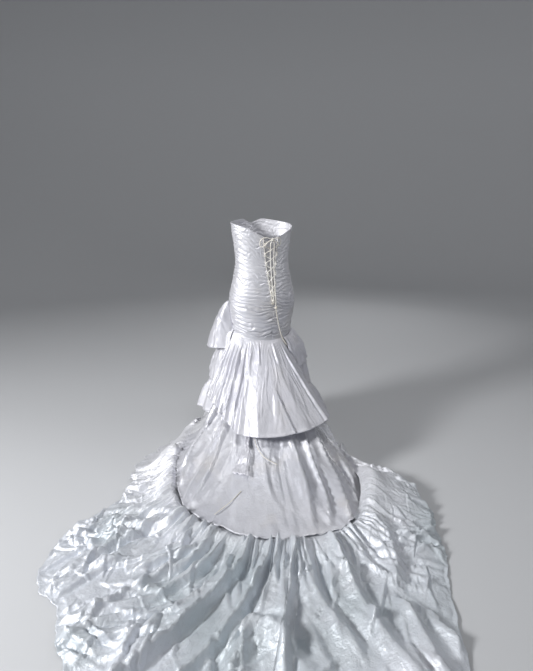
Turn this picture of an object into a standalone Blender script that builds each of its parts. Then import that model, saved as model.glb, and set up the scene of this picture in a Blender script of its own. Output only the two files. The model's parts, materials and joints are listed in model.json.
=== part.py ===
"""White satin fit-and-flare gown with a lace-up back, tiered flounces and a long train.

Metres, +Z up. The wearer faces -Y and the origin is the middle of the waist, so the floor is at
-WAIST_HEIGHT. Heights in the tables are measured from the floor. Two angles go round the gown,
both from the back towards the wearer's left: the body angle starts at +Y, and the train angle
starts where the train points, TRAIN_TURN further round.
"""
import math
from collections import namedtuple

import bmesh
import bpy
import numpy as np

COLLECTION = "lace_up_train_gown"

WAIST_HEIGHT = 1.06
TRAIN_TURN = math.radians(25.0)
CLOTH = 0.0020
SEAM = 0.0003
EDGE_STEP = 0.0012
FLOUNCE_STEP = 0.0005
HEM_STEP = 0.0015
TOP_LAYER = 0.0045

# Satin colours, linear: the shell, the shaded lower tiers and the lace.
SATIN_WHITE = (0.84, 0.84, 0.87)
SATIN_SHADE = (0.80, 0.81, 0.83)
LACE_CREAM = (0.80, 0.75, 0.66)
SATIN_ROUGHNESS = 0.34

# The hollow worn form, a ring for each height.
Ring = namedtuple("Ring", "height half_width half_depth front_fullness")
BODY = [
    Ring(0.60, 0.138, 0.112, 0.000),
    Ring(0.67, 0.143, 0.115, 0.000),
    Ring(0.76, 0.158, 0.122, 0.000),
    Ring(0.86, 0.170, 0.125, 0.000),
    Ring(0.97, 0.148, 0.110, 0.004),
    Ring(1.06, 0.135, 0.099, 0.004),
    Ring(1.14, 0.143, 0.101, 0.016),
    Ring(1.22, 0.154, 0.106, 0.026),
    Ring(1.30, 0.158, 0.108, 0.016),
]
BUST_SPREAD = math.radians(58.0)

# Side seams by height. The left one swings forward below the waist.
Seam = namedtuple("Seam", "height left right")
SIDE_SEAMS = [Seam(0.66, 107, -90), Seam(0.76, 107, -90), Seam(0.85, 106, -90), Seam(0.97, 94, -90),
              Seam(1.06, 87, -90), Seam(1.24, 83, -90)]
SEAM_HALF = 0.003

# Neckline and lower edge of the bodice by body angle in degrees.
Edge = namedtuple("Edge", "angle height")
NECKLINE = [
    Edge(0, 1.172), Edge(25, 1.184), Edge(60, 1.222), Edge(90, 1.240), Edge(125, 1.246),
    Edge(155, 1.250), Edge(180, 1.230), Edge(205, 1.248), Edge(235, 1.240), Edge(270, 1.226),
    Edge(300, 1.206), Edge(335, 1.180),
]
BACK_HEM = [Edge(-90, 0.690), Edge(-45, 0.672), Edge(0, 0.668), Edge(45, 0.676), Edge(85, 0.700),
            Edge(107, 0.712)]
FRONT_HEM = [Edge(107, 0.850), Edge(140, 0.822), Edge(180, 0.770), Edge(225, 0.722), Edge(270, 0.690)]

# Ruching: folds in each panel and how far they stand out, at the neckline and at the hem.
RUCHES = 16
RUCHE_TOP = 0.0020
RUCHE_HEM = 0.0050

# Laced opening: half its width at the neckline, closing to nothing at its foot.
OPENING_TOP = 1.172
OPENING_FOOT = 0.850
OPENING_HALF = 0.036
CENTRE_HALF = 0.00035
LOOPS = 7
LOOP_BAND = 0.007
BAND_THICK = 0.0024
MODESTY_MARGIN = 0.022
MODESTY_GAP = 0.0014

# Lace: a satin rouleau, crossed over the opening and tied in a bow at the neckline.
LACE_RADIUS = 0.0026
LACE_STEP = 0.0155
STRAND_STEP = 0.0120
LACE_CLEAR = 0.0012
LACE_END_GAP = 0.0006
STRAND_END_GAP = 0.0014
LACE_LEVELS = 7
LACE_FOOT = 0.868
LACE_HEAD = 1.140
BOW_KNOT_RADIUS = 0.0095
BOW_HEIGHT = 1.166
BOW_LIFT = 0.0195
KNOT_RING = 0.0054
KNOT_WIRE = 0.0023

# Routes on the bodice's back: distance left of the middle, height, lift over the worn form.
Spot = namedtuple("Spot", "side height lift")
BOW_LOOP_LEFT = [Spot(0.026, 1.176, 0.022), Spot(0.046, 1.171, 0.020), Spot(0.056, 1.152, 0.015),
                 Spot(0.050, 1.133, 0.014), Spot(0.034, 1.137, 0.017), Spot(0.021, 1.153, 0.020)]
BOW_LOOP_RIGHT = [Spot(-0.024, 1.174, 0.022), Spot(-0.038, 1.166, 0.020), Spot(-0.044, 1.149, 0.016),
                  Spot(-0.036, 1.136, 0.016), Spot(-0.023, 1.147, 0.020)]
TAIL_LEFT = [Spot(0.008, 1.140, 0.021), Spot(0.008, 1.080, 0.021), Spot(0.006, 1.000, 0.021),
             Spot(0.005, 0.930, 0.021), Spot(0.003, 0.872, 0.021)]
TAIL_RIGHT = [Spot(-0.008, 1.140, 0.021), Spot(-0.007, 1.080, 0.021), Spot(-0.006, 1.000, 0.021),
              Spot(-0.006, 0.930, 0.021), Spot(-0.007, 0.872, 0.0205), Spot(-0.010, 0.838, 0.0150),
              Spot(-0.018, 0.795, 0.0120), Spot(-0.030, 0.745, 0.0115), Spot(-0.043, 0.700, 0.0130),
              Spot(-0.055, 0.668, 0.0190), Spot(-0.064, 0.640, 0.0340)]
LOW_KNOT = Spot(-0.010, 0.838, 0.0150)

# Ties for hooking up the train, on the skirt: train angle, share of the way down, lift.
TIE_RADIUS = 0.0020
TIE_LIFT = 0.009
TIE_SEWN = 0.0036
SkirtSpot = namedtuple("SkirtSpot", "angle down lift")
UPPER_TIE = [SkirtSpot(7.6, 0.44, TIE_SEWN), SkirtSpot(6.4, 0.49, TIE_LIFT), SkirtSpot(4.4, 0.54, TIE_LIFT),
             SkirtSpot(1.4, 0.585, TIE_LIFT), SkirtSpot(-2.0, 0.62, TIE_LIFT), SkirtSpot(-8.5, 0.65, TIE_LIFT)]
LOWER_TIE = [SkirtSpot(8.5, 0.80, TIE_SEWN), SkirtSpot(10.5, 0.84, TIE_LIFT), SkirtSpot(12.5, 0.88, TIE_LIFT),
             SkirtSpot(14.5, 0.92, TIE_LIFT), SkirtSpot(16.0, 0.955, TIE_LIFT)]

# Tab of satin that hangs from under the back flounce: train angles of its sides by share down.
TabRow = namedtuple("TabRow", "down left right")
TAB = [TabRow(0.46, 11.8, 9.4), TabRow(0.54, 12.0, 8.8), TabRow(0.63, 13.4, 6.8), TabRow(0.72, 15.6, 6.0)]
TAB_LIFT = 0.009
SEWN_LIFT = 0.0030

# Line where the skirt meets the train flounce, and the outer edge of that flounce on the floor,
# by train angle in degrees. Reaches are measured from the upright through the waist.
Plan = namedtuple("Plan", "angle seam_reach seam_height hem_reach")
PLAN = [
    Plan(0, 0.830, 0.055, 1.900), Plan(8, 0.795, 0.052, 1.880), Plan(15, 0.760, 0.050, 1.790),
    Plan(21, 0.740, 0.050, 1.590), Plan(26, 0.715, 0.050, 1.450), Plan(33, 0.665, 0.055, 1.345),
    Plan(41, 0.600, 0.060, 1.285), Plan(47, 0.555, 0.070, 1.130), Plan(53, 0.520, 0.080, 0.840),
    Plan(62, 0.470, 0.090, 0.730), Plan(72, 0.425, 0.105, 0.695), Plan(90, 0.375, 0.130, 0.580),
    Plan(110, 0.340, 0.150, 0.480), Plan(145, 0.318, 0.165, 0.430), Plan(180, 0.310, 0.170, 0.420),
    Plan(215, 0.315, 0.170, 0.420), Plan(250, 0.335, 0.150, 0.430), Plan(272, 0.365, 0.125, 0.415),
    Plan(286, 0.400, 0.110, 0.450), Plan(294, 0.430, 0.100, 0.590), Plan(300, 0.480, 0.085, 0.810),
    Plan(308, 0.565, 0.075, 0.960), Plan(316, 0.665, 0.065, 1.070), Plan(324, 0.755, 0.055, 1.210),
    Plan(332, 0.818, 0.052, 1.410), Plan(338, 0.838, 0.052, 1.620), Plan(345, 0.842, 0.055, 1.800),
    Plan(352, 0.836, 0.055, 1.880),
]

# Folds that run from the seam to the outer edge of the train, by train angle in degrees.
TrainFold = namedtuple("TrainFold", "seam_angle hem_angle width height")
TRAIN_FOLDS = [
    TrainFold(60.0, 66.0, 0.060, 0.050),
    TrainFold(48.0, 57.0, 0.050, 0.045),
    TrainFold(38.0, 50.0, 0.055, 0.050),
    TrainFold(29.5, 44.5, 0.050, 0.050),
    TrainFold(24.0, 39.5, 0.045, 0.045),
    TrainFold(18.0, 34.0, 0.050, 0.055),
    TrainFold(13.0, 29.0, 0.045, 0.045),
    TrainFold(7.0, 24.5, 0.050, 0.050),
    TrainFold(1.5, 18.5, 0.052, 0.062),
    TrainFold(-3.0, 11.0, 0.045, 0.040),
    TrainFold(-7.0, 5.0, 0.050, 0.055),
    TrainFold(-11.5, -2.0, 0.055, 0.070),
    TrainFold(-14.5, -10.5, 0.045, 0.045),
    TrainFold(-18.0, -18.0, 0.050, 0.055),
    TrainFold(-21.5, -25.0, 0.045, 0.040),
    TrainFold(-25.0, -31.5, 0.052, 0.055),
    TrainFold(-30.0, -38.5, 0.050, 0.050),
    TrainFold(-37.0, -46.0, 0.055, 0.050),
    TrainFold(-47.0, -54.0, 0.060, 0.060),
    TrainFold(-57.0, -61.0, 0.055, 0.030),
]
TRAIN_GATHERS = 70
GATHER_HEIGHT = 0.022
GATHER_START = 0.05
GATHER_LENGTH = 0.14
SEAM_FALL = 0.20
HEM_SCALLOP = 0.018
HEM_WAVES = 34
HEM_FLAT = 0.45
BILLOW = 0.010

# Broad folds of the skirt under the flounces, by train angle in degrees.
SkirtFold = namedtuple("SkirtFold", "top_angle foot_angle width height")
SKIRT_FOLDS = [
    SkirtFold(66, 52, 0.050, 0.030),
    SkirtFold(52, 40, 0.040, 0.026),
    SkirtFold(38, 30, 0.040, 0.026),
    SkirtFold(26, 20, 0.045, 0.022),
    SkirtFold(10, 9, 0.040, 0.024),
    SkirtFold(-6, -1, 0.060, 0.020),
    SkirtFold(-24, -17, 0.040, 0.030),
    SkirtFold(-42, -28, 0.045, 0.026),
    SkirtFold(-56, -42, 0.045, 0.034),
]

# Hem of the large back flounce, and its folds, by train angle in degrees.
Hem = namedtuple("Hem", "angle reach height")
BACK_FLOUNCE_HEM = [
    Hem(-54, 0.414, 0.322), Hem(-45, 0.425, 0.308), Hem(-30, 0.432, 0.300), Hem(-15, 0.430, 0.292),
    Hem(0, 0.415, 0.284), Hem(15, 0.390, 0.280), Hem(27, 0.345, 0.300), Hem(38, 0.315, 0.326),
    Hem(50, 0.295, 0.345), Hem(62, 0.290, 0.356), Hem(76, 0.292, 0.368),
]
BACK_FLOUNCE_LEFT = 76.0
BACK_FLOUNCE_RIGHT = -54.0
FLOUNCE_FOLDS = [
    SkirtFold(68, 66, 0.020, 0.016),
    SkirtFold(55, 52, 0.019, 0.018),
    SkirtFold(43, 39, 0.018, 0.022),
    SkirtFold(32, 28, 0.018, 0.024),
    SkirtFold(21, 17, 0.019, 0.026),
    SkirtFold(6, 2, 0.045, 0.030),
    SkirtFold(-10, -14, 0.024, 0.012),
    SkirtFold(-22, -30, 0.030, 0.020),
    SkirtFold(-38, -47, 0.045, 0.018),
]

# Front flounces, upper to lower, from the left round the front to the right. The uppermost hangs
# from the bodice's own edge, the others are sewn on the skirt at these heights.
Tier = namedtuple("Tier", "name left right top_left top_right hem_left hem_right"
                  " spread_left spread_right flare waves swing")
FRONT_TIERS = [
    Tier("front_flounce_upper", 83, 303, None, None, 0.605, 0.510, 0.125, 0.075, 0.85, 10, 0.018),
    Tier("front_flounce_middle", 82, 300, 0.650, 0.560, 0.420, 0.370, 0.125, 0.085, 0.60, 11, 0.022),
    Tier("front_flounce_lower", 82, 292, 0.460, 0.370, 0.255, 0.215, 0.150, 0.145, 0.65, 12, 0.022),
]
TIER_LIFT = 0.006
SKIRT_SIDE_LEFT = 82.0
SKIRT_SIDE_RIGHT = 245.0
SIDE_HALF = 0.2
Panel = namedtuple("Panel", "first last columns rows")
SKIRT_BACK = Panel(SKIRT_SIDE_LEFT - SIDE_HALF, SKIRT_SIDE_RIGHT - 360.0 + SIDE_HALF, 48, 6)
SKIRT_FRONT = Panel(SKIRT_SIDE_LEFT + SIDE_HALF, SKIRT_SIDE_RIGHT - SIDE_HALF, 22, 5)

# Seams that part the train flounce, by train angle at the skirt.
TRAIN_CENTRE = -8.1
TRAIN_LEFT = 62.5
TRAIN_RIGHT = 295.0
TRAIN_HALF = 0.06


def cyclic(rows, column, angle):
    """Smooth value of a table column at an angle in degrees, all the way round."""
    angles = np.array([row.angle for row in rows], float)
    values = np.array([getattr(row, column) for row in rows], float)
    spread = np.concatenate([angles - 360.0, angles, angles + 360.0])
    return hermite(spread, np.tile(values, 3), np.mod(np.asarray(angle, float), 360.0))


def along(rows, key, column, value):
    """Smooth value of a table column between the table's ends."""
    keys = np.array([getattr(row, key) for row in rows], float)
    values = np.array([getattr(row, column) for row in rows], float)
    return hermite(keys, values, np.clip(value, keys[0], keys[-1]))


def hermite(keys, values, x):
    """Piecewise cubic through the points, with slopes that never overshoot."""
    step = np.diff(keys)
    rise = np.diff(values) / step
    slope = np.zeros_like(values)
    same = rise[:-1] * rise[1:] > 0.0
    harmonic = 2.0 * rise[:-1] * rise[1:] / np.where(same, rise[:-1] + rise[1:], 1.0)
    slope[1:-1] = np.where(same, harmonic, 0.0)
    slope[0] = rise[0]
    slope[-1] = rise[-1]
    x = np.asarray(x, float)
    i = np.clip(np.searchsorted(keys, x, side="right") - 1, 0, len(step) - 1)
    t = (x - keys[i]) / step[i]
    h = step[i]
    return (values[i] * (1 + 2 * t) * (1 - t) ** 2 + h * slope[i] * t * (1 - t) ** 2
            + values[i + 1] * t ** 2 * (3 - 2 * t) - h * slope[i + 1] * t ** 2 * (1 - t))


def smooth(low, high, x):
    t = np.clip((np.asarray(x, float) - low) / (high - low), 0.0, 1.0)
    return t * t * (3.0 - 2.0 * t)


def ripple(x, count, seed):
    """Uneven round waves between -1 and 1, about count of them as x goes from 0 to 1."""
    warp = 0.32 * np.sin(2 * np.pi * (2.3 * x + seed)) + 0.20 * np.sin(2 * np.pi * (5.1 * x + 2 * seed))
    phase = 2 * np.pi * (count * x + warp)
    strength = 0.78 + 0.22 * np.sin(2 * np.pi * (3.7 * x + 1.7 * seed))
    return strength * (0.86 * np.sin(phase) + 0.14 * np.sin(2 * phase + 0.9))


def body_reach(angle, height):
    """Distance from the upright axis to the worn form at a body angle in radians."""
    half_width = along(BODY, "height", "half_width", height)
    half_depth = along(BODY, "height", "half_depth", height)
    fullness = along(BODY, "height", "front_fullness", height)
    oval = half_width * half_depth / np.hypot(half_depth * np.sin(angle), half_width * np.cos(angle))
    from_front = np.abs(np.mod(angle, 2 * np.pi) - np.pi)
    return oval + fullness * (1.0 - smooth(0.0, BUST_SPREAD, from_front))


def place(angle, reach, height):
    """Points from body angle in radians, reach from the axis and height from the floor."""
    return np.stack([reach * np.sin(angle), reach * np.cos(angle), height - WAIST_HEIGHT], axis=-1)


def place_train(degrees, reach, height):
    return place(np.radians(degrees) + TRAIN_TURN, reach, height)


def fold_heights(folds, first, last, degrees, reach, ripe, run):
    """The tallest of the rounded ridges whose middle line swings from one angle to another."""
    tallest = 0.0
    for fold in folds:
        middle = getattr(fold, first) + (getattr(fold, last) - getattr(fold, first)) * run
        offset = np.radians(degrees - middle) * reach / fold.width
        tallest = np.maximum(tallest, fold.height * ripe * np.exp(-offset ** 2))
    return tallest


def neckline(angle):
    return cyclic(NECKLINE, "height", np.degrees(angle))


def back_hem(angle):
    return along(BACK_HEM, "angle", "height", np.degrees(angle))


def front_hem(angle):
    """Lower edge of the bodice across the front, and on round the back's right half."""
    ahead = along(FRONT_HEM, "angle", "height", np.degrees(angle))
    return np.where(angle > 1.5 * np.pi, back_hem(angle - 2 * np.pi), ahead)


def side_seam(side, up, low_edge, turn=0.0):
    """Angle of a side seam at a share of the way from a panel's low edge up to the neckline."""
    angle = np.full_like(np.asarray(up, float), np.pi / 2 if side == "left" else turn - np.pi / 2)
    for _ in range(8):
        height = low_edge(angle) + (neckline(angle) - low_edge(angle)) * up
        angle = np.radians(along(SIDE_SEAMS, "height", side, height)) + turn
    return angle


def ruche_stand(up):
    """Height of the ruching, deeper at the hips than at the neckline."""
    return RUCHE_HEM + (RUCHE_TOP - RUCHE_HEM) * smooth(0.15, 0.75, up)


def ruche(across, up, seed):
    """How far the gathered satin stands out; up runs from the hem to the neckline."""
    fold = np.sin(2 * np.pi * (RUCHES * up + 0.25))
    uneven = 0.80 + 0.20 * np.sin(9.0 * across + 17.0 * up + seed)
    edge = smooth(0.0, 0.05, np.minimum(up, 1.0 - up) + 0.03)
    return ruche_stand(up) * fold * uneven * edge


def opening_half(height):
    """Half the width of the laced opening in the centre back."""
    share = np.clip((height - OPENING_FOOT) / (OPENING_TOP - OPENING_FOOT), 0.0, 1.2)
    return CENTRE_HALF + OPENING_HALF * share


def back_angle(side, height):
    """Body angle of a point on the back that lies a given distance left of the middle."""
    depth = along(BODY, "height", "half_depth", height)
    return np.arctan2(side, depth)


def back_panel(sign):
    """Point function of one half of the bodice's back: sign is +1 on the wearer's left."""
    side = "left" if sign > 0 else "right"

    def point(across, up):
        height = back_hem(0.0) + (neckline(0.0) - back_hem(0.0)) * up
        side_angle = side_seam(side, up, back_hem) - sign * SEAM_HALF
        centre_angle = sign * back_angle(opening_half(height), height)
        angle = side_angle + (centre_angle - side_angle) * across
        sag = 0.010 * np.sin(np.pi * across) * (1.0 - up) * up * 4.0
        height = back_hem(angle) + (neckline(angle) - back_hem(angle)) * up - sag
        reach = body_reach(angle, height) + ruche(across, up, 1.0 + sign)
        return place(angle, reach, height)

    return point


def front_panel(across, up):
    first = side_seam("left", up, front_hem) + SEAM_HALF
    last = side_seam("right", up, front_hem, 2 * np.pi) - SEAM_HALF
    angle = first + (last - first) * across
    low = front_hem(angle)
    height = low + (neckline(angle) - low) * up
    reach = body_reach(angle, height) + ruche(across, up, 4.0)
    return place(angle, reach, height)


def bodice_share(height):
    """Share of the way up the centre back, from the bodice's lower edge to its neckline."""
    return (height - back_hem(0.0)) / (neckline(0.0) - back_hem(0.0))


def band_lift(height):
    """Middle of the loop bands, clear of the ruching under them."""
    return ruche_stand(bodice_share(height)) + 0.5 * CLOTH + 0.5 * BAND_THICK + SEAM


def modesty_panel(across, up):
    low = OPENING_FOOT - 0.015
    height = low + (OPENING_TOP - 0.012 - low) * up
    side = (opening_half(height) + MODESTY_MARGIN) * (2.0 * across - 1.0)
    angle = back_angle(side, height)
    behind = ruche_stand(bodice_share(height)) + CLOTH + MODESTY_GAP
    return place(angle, body_reach(angle, height) - behind, height)


def loop_band(sign):
    """Strip of rouleau loops sewn on beside the opening, scalloped towards the middle."""
    def point(across, up):
        height = OPENING_FOOT + 0.006 + (OPENING_TOP - 0.010 - OPENING_FOOT) * up
        scallop = 0.5 - 0.5 * np.cos(2 * np.pi * LOOPS * up)
        side = opening_half(height) + 0.003 + (LOOP_BAND + 0.0025 * scallop) * across
        angle = sign * back_angle(side, height)
        return place(angle, body_reach(angle, height) + band_lift(height), height)

    return point


def seam_reach(degrees):
    return cyclic(PLAN, "seam_reach", degrees)


def seam_lift(degrees):
    """Height of the seam between the skirt and the train flounce."""
    return cyclic(PLAN, "seam_height", degrees)


def skirt_steepness(degrees):
    """The back of the skirt sweeps out near the floor, and the front hangs straighter."""
    from_back = np.abs(np.mod(degrees + 180.0, 360.0) - 180.0)
    return 1.60 - 0.35 * smooth(70.0, 150.0, from_back)


def skirt_profile(degrees, down, top_height):
    """Reach and height on the skirt from the bodice to the train seam, down from 0 to 1."""
    steep = skirt_steepness(degrees)
    start = body_reach(np.radians(degrees) + TRAIN_TURN, top_height) - CLOTH
    end = seam_reach(degrees) - HEM_STEP
    reach = start + (end - start) * down ** steep
    height = top_height + (seam_lift(degrees) - top_height) * (1.0 - (1.0 - down) ** steep)
    ripe = smooth(0.0, 0.55, down) * (1.0 - smooth(0.80, 1.0, down))
    turn = np.mod(degrees + 180.0, 360.0) - 180.0
    fold = fold_heights(SKIRT_FOLDS, "top_angle", "foot_angle", turn, reach, ripe, down)
    return reach + 0.45 * fold, height + 0.85 * fold


def facet_seam(degrees):
    """Reach and height of the seam on the flat facets of the skirt's lower edge."""
    behind = (degrees < SKIRT_SIDE_LEFT) | (degrees > SKIRT_SIDE_RIGHT)
    turn = np.where(degrees > SKIRT_SIDE_RIGHT, degrees - 360.0, degrees)
    first = np.where(behind, SKIRT_BACK.first, SKIRT_FRONT.first)
    last = np.where(behind, SKIRT_BACK.last, SKIRT_FRONT.last)
    columns = np.where(behind, SKIRT_BACK.columns, SKIRT_FRONT.columns)
    width = (last - first) / columns
    near = first + width * np.clip(np.floor((turn - first) / width), 0, columns - 1)
    far = near + width
    near_pull = seam_reach(near) * np.sin(np.radians(turn - near))
    far_pull = seam_reach(far) * np.sin(np.radians(far - turn))
    share = near_pull / (near_pull + far_pull)
    reach = seam_reach(near) * seam_reach(far) * np.sin(np.radians(width)) / (near_pull + far_pull)
    return reach, seam_lift(near) + (seam_lift(far) - seam_lift(near)) * share


def skirt_top(degrees, step=EDGE_STEP):
    """Upper edge of the skirt or of a flounce over it, just under the bodice's lower edge."""
    angle = np.radians(degrees) + TRAIN_TURN
    behind = degrees < SKIRT_SIDE_LEFT
    return np.where(behind, back_hem(angle), front_hem(angle)) - step


def sheet_point(panel):
    def point(across, down):
        degrees = panel.first + (panel.last - panel.first) * across
        return place_train(degrees, *skirt_profile(degrees, down, skirt_top(degrees)))

    return point


def on_skirt(degrees, down, lift):
    """Points over the flat facets of the skirt's back panel, lifted outward and up."""
    point = sheet_point(SKIRT_BACK)
    column = (degrees - SKIRT_BACK.first) / (SKIRT_BACK.last - SKIRT_BACK.first) * SKIRT_BACK.columns
    row = down * SKIRT_BACK.rows
    i = np.floor(column)
    j = np.floor(row)
    u = (column - i)[..., None]
    v = (row - j)[..., None]
    corner = {}
    for across in (0, 1):
        for below in (0, 1):
            corner[across, below] = point((i + across) / SKIRT_BACK.columns, (j + below) / SKIRT_BACK.rows)
    near = corner[0, 0] * (1 - u) + corner[1, 0] * u
    far = corner[0, 1] * (1 - u) + corner[1, 1] * u
    angle = np.radians(degrees) + TRAIN_TURN
    away = np.stack([0.6 * np.sin(angle), 0.6 * np.cos(angle), np.full_like(angle, 0.8)], axis=-1)
    return near * (1 - v) + far * v + np.asarray(lift)[..., None] * away


def train_tab(across, down):
    share = TAB[0].down + (TAB[-1].down - TAB[0].down) * down
    left = along(TAB, "down", "left", share)
    degrees = left + (along(TAB, "down", "right", share) - left) * across
    return on_skirt(degrees, share, SEWN_LIFT + (TAB_LIFT - SEWN_LIFT) * smooth(0.0, 0.35, down))


def back_flounce(across, down):
    """The large flounce that falls from the bodice over the back of the skirt."""
    degrees = BACK_FLOUNCE_LEFT + (BACK_FLOUNCE_RIGHT - BACK_FLOUNCE_LEFT) * across
    top = skirt_top(degrees, FLOUNCE_STEP)
    start = body_reach(np.radians(degrees) + TRAIN_TURN, top) + TOP_LAYER
    end = along(BACK_FLOUNCE_HEM, "angle", "reach", degrees)
    low = along(BACK_FLOUNCE_HEM, "angle", "height", degrees)
    reach = start + (end - start) * down ** 1.08
    height = top + (low - top) * down ** 0.97
    ripe = smooth(0.0, 0.9, down)
    fold = fold_heights(FLOUNCE_FOLDS, "top_angle", "foot_angle", degrees, reach, ripe, down)
    return place_train(degrees, reach + 0.85 * fold, height + 0.35 * fold)


def tier_seam(tier, across, degrees):
    """Where a front flounce is sewn on: its height, and its reach just outside the skirt."""
    skirt = skirt_top(degrees)
    if tier.top_left is None:
        edge = skirt_top(degrees, FLOUNCE_STEP)
        return edge, body_reach(np.radians(degrees) + TRAIN_TURN, edge) + TOP_LAYER
    height = tier.top_left + (tier.top_right - tier.top_left) * across
    share = (skirt - height) / (skirt - seam_lift(degrees))
    down = 1.0 - (1.0 - share) ** (1.0 / skirt_steepness(degrees))
    return height, skirt_profile(degrees, down, skirt)[0] + TIER_LIFT


def front_tier(tier):
    """Point function of one gathered flounce across the front."""
    def point(across, down):
        degrees = tier.left + (tier.right - tier.left) * across
        top, start = tier_seam(tier, across, degrees)
        wave = ripple(across, tier.waves, 0.13 * tier.waves)
        ripe = smooth(0.0, 0.8, down)
        spread = tier.spread_left + (tier.spread_right - tier.spread_left) * across
        reach = start + spread * down ** tier.flare + tier.swing * wave * ripe
        hem = tier.hem_left + (tier.hem_right - tier.hem_left) * across
        height = top + (hem - top) * down ** 1.1 + 0.2 * tier.swing * wave * ripe
        return place_train(degrees, reach, height)

    return point


def train_swing(seam_degrees):
    """Angle at the outer edge of the line that leaves the seam at the given angle."""
    rows = sorted(TRAIN_FOLDS, key=lambda fold: fold.seam_angle)
    last = rows[-1].seam_angle
    inside = along(rows, "seam_angle", "hem_angle", np.minimum(seam_degrees, last))
    return inside + np.maximum(seam_degrees - last, 0.0)


def train_surface(seam_degrees, out):
    """The train flounce along a line of its own swing, from its seam to its outer edge."""
    degrees = seam_degrees + (train_swing(seam_degrees) - seam_degrees) * out
    seam, lift = facet_seam(degrees)
    start = seam + HEM_STEP
    end = cyclic(PLAN, "hem_reach", degrees)
    scallop = HEM_SCALLOP * ripple(seam_degrees / 360.0 + 0.5, HEM_WAVES, 0.21)
    reach = start + (end + scallop - start) * out
    fall = 1.0 - smooth(0.0, 1.0, (reach - start) / np.minimum(SEAM_FALL, 0.95 * (end - start)))
    ripe = smooth(0.0, 0.22, out) * (1.0 - HEM_FLAT * smooth(0.75, 1.0, out))
    fold = fold_heights(TRAIN_FOLDS, "seam_angle", "hem_angle", degrees, reach, ripe, out)
    billow = BILLOW * ripe * (1.0 + ripple(seam_degrees / 360.0 + 0.8 * out, 9, 0.61))
    gather = GATHER_HEIGHT * ripple(seam_degrees / 360.0 + 0.5, TRAIN_GATHERS, 0.37)
    gather *= smooth(0.0, GATHER_START, reach - start) * np.exp(-(reach - start) / GATHER_LENGTH)
    height = lift * fall + fold + billow + gather
    return place_train(degrees, reach, np.maximum(height, 0.5 * CLOTH))


def train_flounce(left, right):
    def point(across, out):
        return train_surface(left + (right - left) * across, out)

    return point


def satin(name, colour):
    material = bpy.data.materials.new(name + "_satin")
    material.use_nodes = True
    shader = material.node_tree.nodes["Principled BSDF"]
    shader.inputs["Base Color"].default_value = (*colour, 1.0)
    shader.inputs["Roughness"].default_value = SATIN_ROUGHNESS
    shader.inputs["Metallic"].default_value = 0.0
    return material


def add_object(name, data, colour):
    thing = bpy.data.objects.new(name, data)
    data.materials.append(satin(name, colour))
    bpy.data.collections[COLLECTION].objects.link(thing)
    return thing


def cloth_panel(name, point, columns, rows, colour=SATIN_WHITE, thickness=CLOTH):
    """Open sheet over a grid of point(across, down), given its wall by Solidify."""
    across, down = np.meshgrid(np.linspace(0, 1, columns + 1), np.linspace(0, 1, rows + 1))
    grid = point(across, down)
    mesh = bpy.data.meshes.new(name)
    build = bmesh.new()
    corners = [[build.verts.new(p) for p in line] for line in grid]
    for j in range(rows):
        for i in range(columns):
            build.faces.new((corners[j][i], corners[j + 1][i], corners[j + 1][i + 1], corners[j][i + 1]))
    build.to_mesh(mesh)
    build.free()
    mesh.shade_smooth()
    thing = add_object(name, mesh, colour)
    wall = thing.modifiers.new("wall", "SOLIDIFY")
    wall.thickness = thickness
    wall.offset = 0.0
    return thing


def smooth_route(points, step):
    """Even points along a Catmull-Rom curve through the route's own points."""
    route = np.array(points, float)
    route = np.vstack([2 * route[0] - route[1], route, 2 * route[-1] - route[-2]])
    fine = []
    for a, b, c, d in zip(route[:-3], route[1:-2], route[2:-1], route[3:]):
        for t in np.linspace(0, 1, 24, endpoint=False):
            fine.append(0.5 * (2 * b + (c - a) * t + (2 * a - 5 * b + 4 * c - d) * t * t
                               + (3 * b - a - 3 * c + d) * t ** 3))
    fine = np.array(fine + [route[-2]])
    length = np.concatenate([[0.0], np.cumsum(np.linalg.norm(np.diff(fine, axis=0), axis=1))])
    count = max(2, int(round(length[-1] / step)) + 1)
    even = np.linspace(0.0, length[-1], count)
    return np.stack([np.interp(even, length, fine[:, k]) for k in range(3)], axis=1)


def rouleau(name, points, radius=LACE_RADIUS, step=LACE_STEP):
    """Round satin lace along a smooth route."""
    curve = bpy.data.curves.new(name, "CURVE")
    curve.dimensions = "3D"
    curve.bevel_depth = radius
    curve.bevel_resolution = 2
    curve.use_fill_caps = True
    route = smooth_route(points, step)
    spline = curve.splines.new("POLY")
    spline.points.add(len(route) - 1)
    for target, point in zip(spline.points, route):
        target.co = (*point, 1.0)
    return add_object(name, curve, LACE_CREAM)


def back_spot(side, height, lift):
    """A point over the back of the bodice, side metres left of the middle."""
    angle = float(back_angle(side, height))
    return place(angle, float(body_reach(angle, height)) + lift, height)


def lace_strand(first_side):
    """One end of the lace, from the foot of the opening up to the bow, side to side."""
    points = []
    for level in range(LACE_LEVELS):
        side = first_side if level % 2 == 0 else -first_side
        height = LACE_FOOT + (LACE_HEAD - LACE_FOOT) * level / (LACE_LEVELS - 1)
        edge = float(opening_half(height)) + 0.5 * LOOP_BAND
        over = float(band_lift(height)) + 0.5 * BAND_THICK + LACE_RADIUS + LACE_CLEAR
        points.append(back_spot(side * edge, height, over))
        if level < LACE_LEVELS - 1:
            step = (LACE_HEAD - LACE_FOOT) / (LACE_LEVELS - 1)
            above = LACE_RADIUS + SEAM if side > 0 else -(LACE_RADIUS + SEAM)
            points.append(back_spot(0.0, height + 0.5 * step, over + above))
    return points


def knot_end(direction, gap=LACE_END_GAP):
    """Where a lace meets the bow's knot, in a direction given left, up and away from the back."""
    left, up, away = np.array(direction, float) / np.linalg.norm(direction)
    middle = back_spot(0.0, BOW_HEIGHT, BOW_LIFT)
    return middle + (BOW_KNOT_RADIUS + gap) * np.array([left, away, up])


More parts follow.
